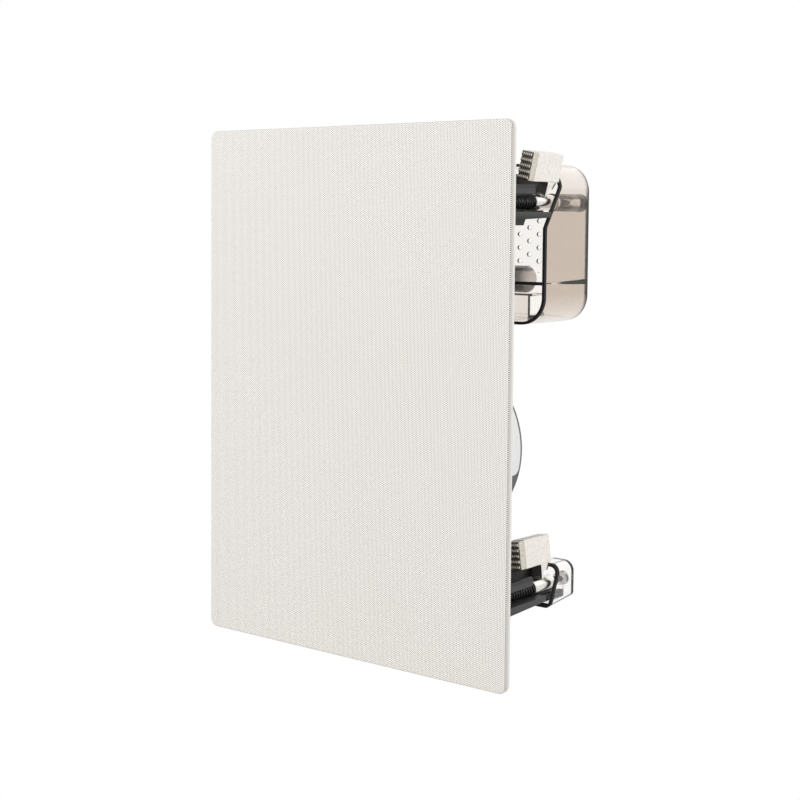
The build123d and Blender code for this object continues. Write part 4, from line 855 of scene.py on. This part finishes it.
def screwed(obj, turns, rise, steps, repeats=1):
    """Turn a profile about the Z direction, rising as it goes."""
    modifier = obj.modifiers.new("turn", "SCREW")
    modifier.axis = "Z"
    modifier.angle = turns * 2 * math.pi
    modifier.screw_offset = rise
    modifier.steps = steps
    modifier.render_steps = steps
    modifier.iterations = repeats
    modifier.use_merge_vertices = True
    modifier.merge_threshold = MERGE
    apply_modifier(obj, "turn")
    return obj


def close_mesh(obj):
    """Merge doubles, fill open ends and turn the faces outwards."""
    pick(obj)
    bpy.ops.object.mode_set(mode="EDIT")
    bpy.ops.mesh.select_all(action="SELECT")
    bpy.ops.mesh.remove_doubles(threshold=MERGE)
    bpy.ops.mesh.fill_holes(sides=0)
    bpy.ops.mesh.select_all(action="SELECT")
    bpy.ops.mesh.normals_make_consistent(inside=False)
    bpy.ops.object.mode_set(mode="OBJECT")
    return obj


def put_along_y(obj, x, y, z):
    """Lay a piece modelled along Z into the wall direction and move it to its place."""
    pick(obj)
    obj.rotation_euler = (-math.pi / 2, 0.0, 0.0)
    obj.location = (x, y, z)
    apply_placing()
    return obj


def turned_over(obj):
    """Turn a piece upside down about its own level zero."""
    pick(obj)
    obj.rotation_euler = (math.pi, 0.0, 0.0)
    apply_placing()
    return obj


def joined(pieces):
    """Several pieces as one object."""
    start_clean()
    for piece in pieces:
        piece.select_set(True)
    bpy.context.view_layer.objects.active = pieces[0]
    bpy.ops.object.join()
    return pieces[0]


def copies(obj, places, y):
    """One object made of copies of a piece along Y at several places."""
    pieces = []
    for x, z in places:
        pick(obj)
        bpy.ops.object.duplicate()
        pieces.append(put_along_y(bpy.context.object, x, y, z))
    delete(obj)
    return joined(pieces)


def turned(outline):
    """A closed body turned about Z from points given as radius and height."""
    line = drawn_line([(radius, 0.0, height) for radius, height in outline])
    return close_mesh(screwed(line, 1, 0.0, HEAD_SIDES))


def finish_piece(obj, name, body, slot, nodes):
    """Name, finish and attach a modelled piece that stands for CAD nodes."""
    pick(obj)
    bpy.ops.object.shade_smooth_by_angle(angle=SMOOTH_ANGLE)
    obj.name = name
    obj.data.name = name
    obj.data.materials.clear()
    obj.data.materials.append(FINISHES[slot])
    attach(obj, body)
    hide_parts(*nodes)
    return obj


def slot_of(node):
    return [piece["material_slot"] for piece in frame["record"]["subparts"] if piece["node"] == node][0]


# Pieces

def make_springs():
    """Coil springs round the clamp screws."""
    for clamp, x, z in CLAMPS:
        node = f"clamp_spring_{clamp}"
        low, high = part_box(node)
        mean_r = (high.x - low.x) / 2 - SPRING_WIRE_R
        length = high.y - low.y - 2 * SPRING_WIRE_R
        turns = round(length / SPRING_PITCH)
        start_clean()
        bpy.ops.mesh.primitive_circle_add(
            vertices=SPRING_WIRE_SIDES, radius=SPRING_WIRE_R,
            location=(mean_r, 0.0, 0.0), rotation=(math.pi / 2, 0.0, 0.0))
        apply_placing()
        wire = screwed(bpy.context.object, turns, length, turns * SPRING_STEPS_PER_TURN)
        close_mesh(wire)
        put_along_y(wire, x, low.y + SPRING_WIRE_R, z)
        finish_piece(wire, f"spring_{clamp}", "frame", "spring_steel", [node])
        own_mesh(wire)


def cut_cross(head, head_r, top):
    """Sink a cross recess into a head whose top is at a height."""
    arm = CROSS_LENGTH * head_r
    slot = CROSS_WIDTH * head_r
    depth = CROSS_DEPTH * head_r
    for length, width in ((arm, slot), (slot, arm)):
        start_clean()
        bpy.ops.mesh.primitive_cube_add(size=1.0, location=(0.0, 0.0, top))
        cutter = bpy.context.object
        cutter.scale = (length, width, 2 * depth)
        apply_placing()
        modifier = head.modifiers.new("cross", "BOOLEAN")
        modifier.operation = "DIFFERENCE"
        modifier.solver = "EXACT"
        modifier.object = cutter
        apply_modifier(head, "cross")
        delete(cutter)
    return head


def pan_head(head_r, head_t):
    """A pan head standing on the level zero, its cross recess on top."""
    outline = [(0.0, 0.0), (head_r, 0.0)]
    round_r = HEAD_ROUND * head_t
    for step in range(HEAD_ROUND_STEPS + 1):
        angle = step / HEAD_ROUND_STEPS * math.pi / 2
        radius = head_r - round_r + round_r * math.cos(angle)
        outline.append((radius, head_t - round_r + round_r * math.sin(angle)))
    outline.append((0.0, head_t))
    return cut_cross(turned(outline), head_r, head_t)


def shank(radius, start, end):
    """A plain round rod along Z whose far end tapers to a blunt tip."""
    taper = min(radius, (end - start) / 3)
    tip = (SHANK_TIP * radius, end)
    return turned([(0.0, start), (radius, start), (radius, end - taper), tip, (0.0, end)])


def thread(start, turns):
    """A coarse screw thread along Z."""
    outline = [
        (SCREW_ROOT_R, 0.0, start),
        (SCREW_ROOT_R, 0.0, start + SCREW_FLANK_START * SCREW_PITCH),
        (SCREW_CREST_R, 0.0, start + SCREW_CREST_START * SCREW_PITCH),
        (SCREW_CREST_R, 0.0, start + SCREW_CREST_END * SCREW_PITCH),
        (SCREW_ROOT_R, 0.0, start + SCREW_PITCH),
    ]
    wound = screwed(drawn_line(outline), 1, SCREW_PITCH, SCREW_STEPS_PER_TURN, repeats=turns)
    return close_mesh(wound)


def make_clamp_screws():
    """Threaded clamp screws with pan heads towards the room."""
    for clamp, x, z in CLAMPS:
        node = f"clamp_screw_{clamp}"
        low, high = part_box(node)
        seat = low.y + SCREW_HEAD_T
        head = turned_over(pan_head(SCREW_HEAD_R, SCREW_HEAD_T))
        length = high.y - seat
        turns = int((length - SCREW_THREAD_START - SCREW_PLAIN_TAIL) / SCREW_PITCH)
        pieces = [head, thread(SCREW_THREAD_START, turns), shank(SCREW_ROOT_R, 0.0, length)]
        screw = put_along_y(joined(pieces), x, seat, z)
        finish_piece(screw, f"threaded_screw_{clamp}", f"screw_{clamp}", "black_screw", [node])


def circle_places(count, radius, x, z):
    """Points evenly spaced on a circle, none of them on its axes."""
    angles = [(i + 0.5) * 2 * math.pi / count for i in range(count)]
    return [(x + radius * math.cos(angle), z + radius * math.sin(angle)) for angle in angles]


def make_small_screws():
    """Pan-head screws of the drivers, towers and carrier posts, heads towards the room."""
    tower_feet = []
    for _, x, z in CLAMPS:
        foot_x = x - math.copysign(TOWER_SCREW_OFFSET, x)
        tower_feet += [(foot_x, z - TOWER_SCREW_OFFSET), (foot_x, z + TOWER_SCREW_OFFSET)]
    post_feet = [(side * POST_X, z) for side in (-1, 1) for z in POST_Z]
    groups = {
        "woofer_screws": circle_places(WOOFER_SCREWS, WOOFER_SCREW_CIRCLE, 0.0, WOOFER_Z),
        "tweeter_screws": circle_places(TWEETER_SCREWS, TWEETER_SCREW_CIRCLE, 0.0, TWEETER_Z),
        "assembly_screws": tower_feet + post_feet,
    }
    for node, places in groups.items():
        low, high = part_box(node)
        seat = low.y + SMALL_HEAD_T
        head = turned_over(pan_head(SMALL_HEAD_R, SMALL_HEAD_T))
        screw = joined([head, shank(SMALL_SHANK_R, 0.0, high.y - seat)])
        finish_piece(copies(screw, places, seat), f"recessed_{node}", "frame", slot_of(node), [node])


def make_cover_screws():
    """Long screws of the rear cover, heads towards the back."""
    node = "rear_cover_screws"
    low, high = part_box(node)
    seat = high.y - COVER_HEAD_T
    rod = turned_over(shank(COVER_SHANK_R, 0.0, seat - low.y))
    screw = joined([pan_head(COVER_HEAD_R, COVER_HEAD_T), rod])
    places = [(side * x, z) for x, z in COVER_SCREW_PLACES for side in (-1, 1)]
    finish_piece(copies(screw, places, seat), f"recessed_{node}", "frame", slot_of(node), [node])


def bulges(first, last, outward):
    """Points of a row of round wires lying side by side between two corners."""
    span = math.dist(first, last)
    count = int(span / (2 * COIL_WIRE_R))
    along = [(b - a) / span for a, b in zip(first, last)]
    wire_r = span / count / 2
    points = []
    for wire in range(count):
        middle = [a + (2 * wire + 1) * wire_r * d for a, d in zip(first, along)]
        for step in range(COIL_BULGE_STEPS):
            angle = math.pi * step / COIL_BULGE_STEPS
            points.append(tuple(
                m - wire_r * math.cos(angle) * d + wire_r * (math.sin(angle) - 1) * o
                for m, d, o in zip(middle, along, outward)))
    return points


def make_coils():
    """Two air-core coils, their layers of round wire showing on every side."""
    node = "crossover_coils"
    low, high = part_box(node)
    height = high.y - low.y
    bore_in, rim_in = COIL_BORE_R + COIL_WIRE_R, COIL_R - COIL_WIRE_R
    low_in, top_in = COIL_WIRE_R, height - COIL_WIRE_R
    outline = bulges((bore_in, 0.0), (rim_in, 0.0), (0.0, -1.0))
    outline += bulges((COIL_R, low_in), (COIL_R, top_in), (1.0, 0.0))
    outline += bulges((rim_in, height), (bore_in, height), (0.0, 1.0))
    outline += bulges((COIL_BORE_R, top_in), (COIL_BORE_R, low_in), (-1.0, 0.0))
    outline.append(outline[0])
    line = drawn_line([(radius, 0.0, level) for radius, level in outline])
    coil = close_mesh(screwed(line, 1, 0.0, COIL_SIDES))
    finish_piece(copies(coil, COIL_PLACES, low.y), f"wound_{node}", "frame", slot_of(node), [node])


# Stage, light and camera

def shown_and_lit(tree, lit, shown, output):
    """One shader for what is seen, mirrored or through glass too, and another for the light it gives."""
    path = add_node(tree, "ShaderNodeLightPath").outputs
    seen = math_node(tree, "MAXIMUM", path["Is Camera Ray"], path["Is Glossy Ray"])
    seen = math_node(tree, "MAXIMUM", seen, path["Is Transmission Ray"])
    mix = add_node(tree, "ShaderNodeMixShader")
    for socket, source in zip(mix.inputs, (seen, lit.outputs[0], shown.outputs[0])):
        tree.links.new(source, socket)
    tree.links.new(mix.outputs[0], tree.nodes[output].inputs["Surface"])


def make_stage():
    """A plain pale floor and an even white surround."""
    start_clean()
    bpy.ops.mesh.primitive_plane_add(size=FLOOR_REACH, location=(0.0, 0.0, FLOOR_Z))
    floor = bpy.context.object
    floor.name = "floor"
    material, tree, bsdf = new_material("floor_white")
    seen = grain_on(tree, object_place(tree), 30.0, 2.0)
    feed(tree, bsdf.inputs["Base Color"], two_tone(tree, seen, grey(0.90), grey(0.92)))
    bsdf.inputs["Roughness"].default_value = 0.9
    glow = add_node(tree, "ShaderNodeEmission", Strength=1.0)
    shown_and_lit(tree, bsdf, glow, "Material Output")
    floor.data.materials.append(material)

    world = bpy.data.worlds.new("studio")
    bpy.context.scene.world = world
    world.use_nodes = True
    tree = world.node_tree
    lit = tree.nodes["Background"]
    lit.inputs["Color"].default_value = grey(1.0)
    lit.inputs["Strength"].default_value = WORLD_FILL
    white = add_node(tree, "ShaderNodeBackground", Color=grey(1.0), Strength=1.0)
    shown_and_lit(tree, lit, white, "World Output")


def make_lights():
    """Square soft boxes, each aimed at a point."""
    for name, place, aim, size, watts in LAMPS:
        data = bpy.data.lights.new(name, "AREA")
        data.shape = "SQUARE"
        data.size = size
        data.energy = watts
        lamp = bpy.data.objects.new(name, data)
        bpy.context.scene.collection.objects.link(lamp)
        lamp.location = place
        lamp.rotation_mode = "QUATERNION"
        lamp.rotation_quaternion = (Vector(aim) - Vector(place)).to_track_quat("-Z", "Y")


def make_camera():
    """The photograph's camera: place, direction, a slight roll and its off-centre frame."""
    data = bpy.data.cameras.new("photo_camera")
    data.lens = CAMERA_LENS
    data.sensor_width = CAMERA_SENSOR
    data.shift_x, data.shift_y = CAMERA_SHIFT
    data.clip_start, data.clip_end = CAMERA_CLIP
    camera = bpy.data.objects.new("photo_camera", data)
    bpy.context.scene.collection.objects.link(camera)
    level = math.cos(CAMERA_PITCH)
    back = Vector((math.sin(CAMERA_YAW) * level, -math.cos(CAMERA_YAW) * level, math.sin(CAMERA_PITCH)))
    right = Vector((math.cos(CAMERA_YAW), math.sin(CAMERA_YAW), 0.0))
    up = right.cross(-back)
    rolled_right = right * math.cos(CAMERA_ROLL) + up * math.sin(CAMERA_ROLL)
    rolled_up = up * math.cos(CAMERA_ROLL) - right * math.sin(CAMERA_ROLL)
    turn = Matrix((rolled_right, rolled_up, back)).transposed()
    camera.matrix_world = Matrix.Translation(CAMERA_PLACE) @ turn.to_4x4()
    bpy.context.scene.camera = camera


def dress_nodes():
    """Every CAD node gets the finish of its slot."""
    for piece in frame["record"]["subparts"]:
        node = frame["nodes"][piece["node"]]
        node.data.materials.clear()
        node.data.materials.append(FINISHES[piece["material_slot"]])


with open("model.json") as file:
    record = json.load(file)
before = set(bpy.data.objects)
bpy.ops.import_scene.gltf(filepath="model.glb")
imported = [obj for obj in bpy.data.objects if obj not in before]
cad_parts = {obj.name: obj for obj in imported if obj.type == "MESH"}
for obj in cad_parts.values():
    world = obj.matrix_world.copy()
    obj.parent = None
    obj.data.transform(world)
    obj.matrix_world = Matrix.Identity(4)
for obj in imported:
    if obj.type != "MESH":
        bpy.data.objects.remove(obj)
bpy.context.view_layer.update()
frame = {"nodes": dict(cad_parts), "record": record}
FINISHES = all_finishes()
dress_nodes()
make_springs()
make_clamp_screws()
make_small_screws()
make_cover_screws()
make_coils()
make_stage()
make_lights()
make_camera()
bpy.context.scene.view_settings.view_transform = "Standard"
bpy.context.view_layer.update()
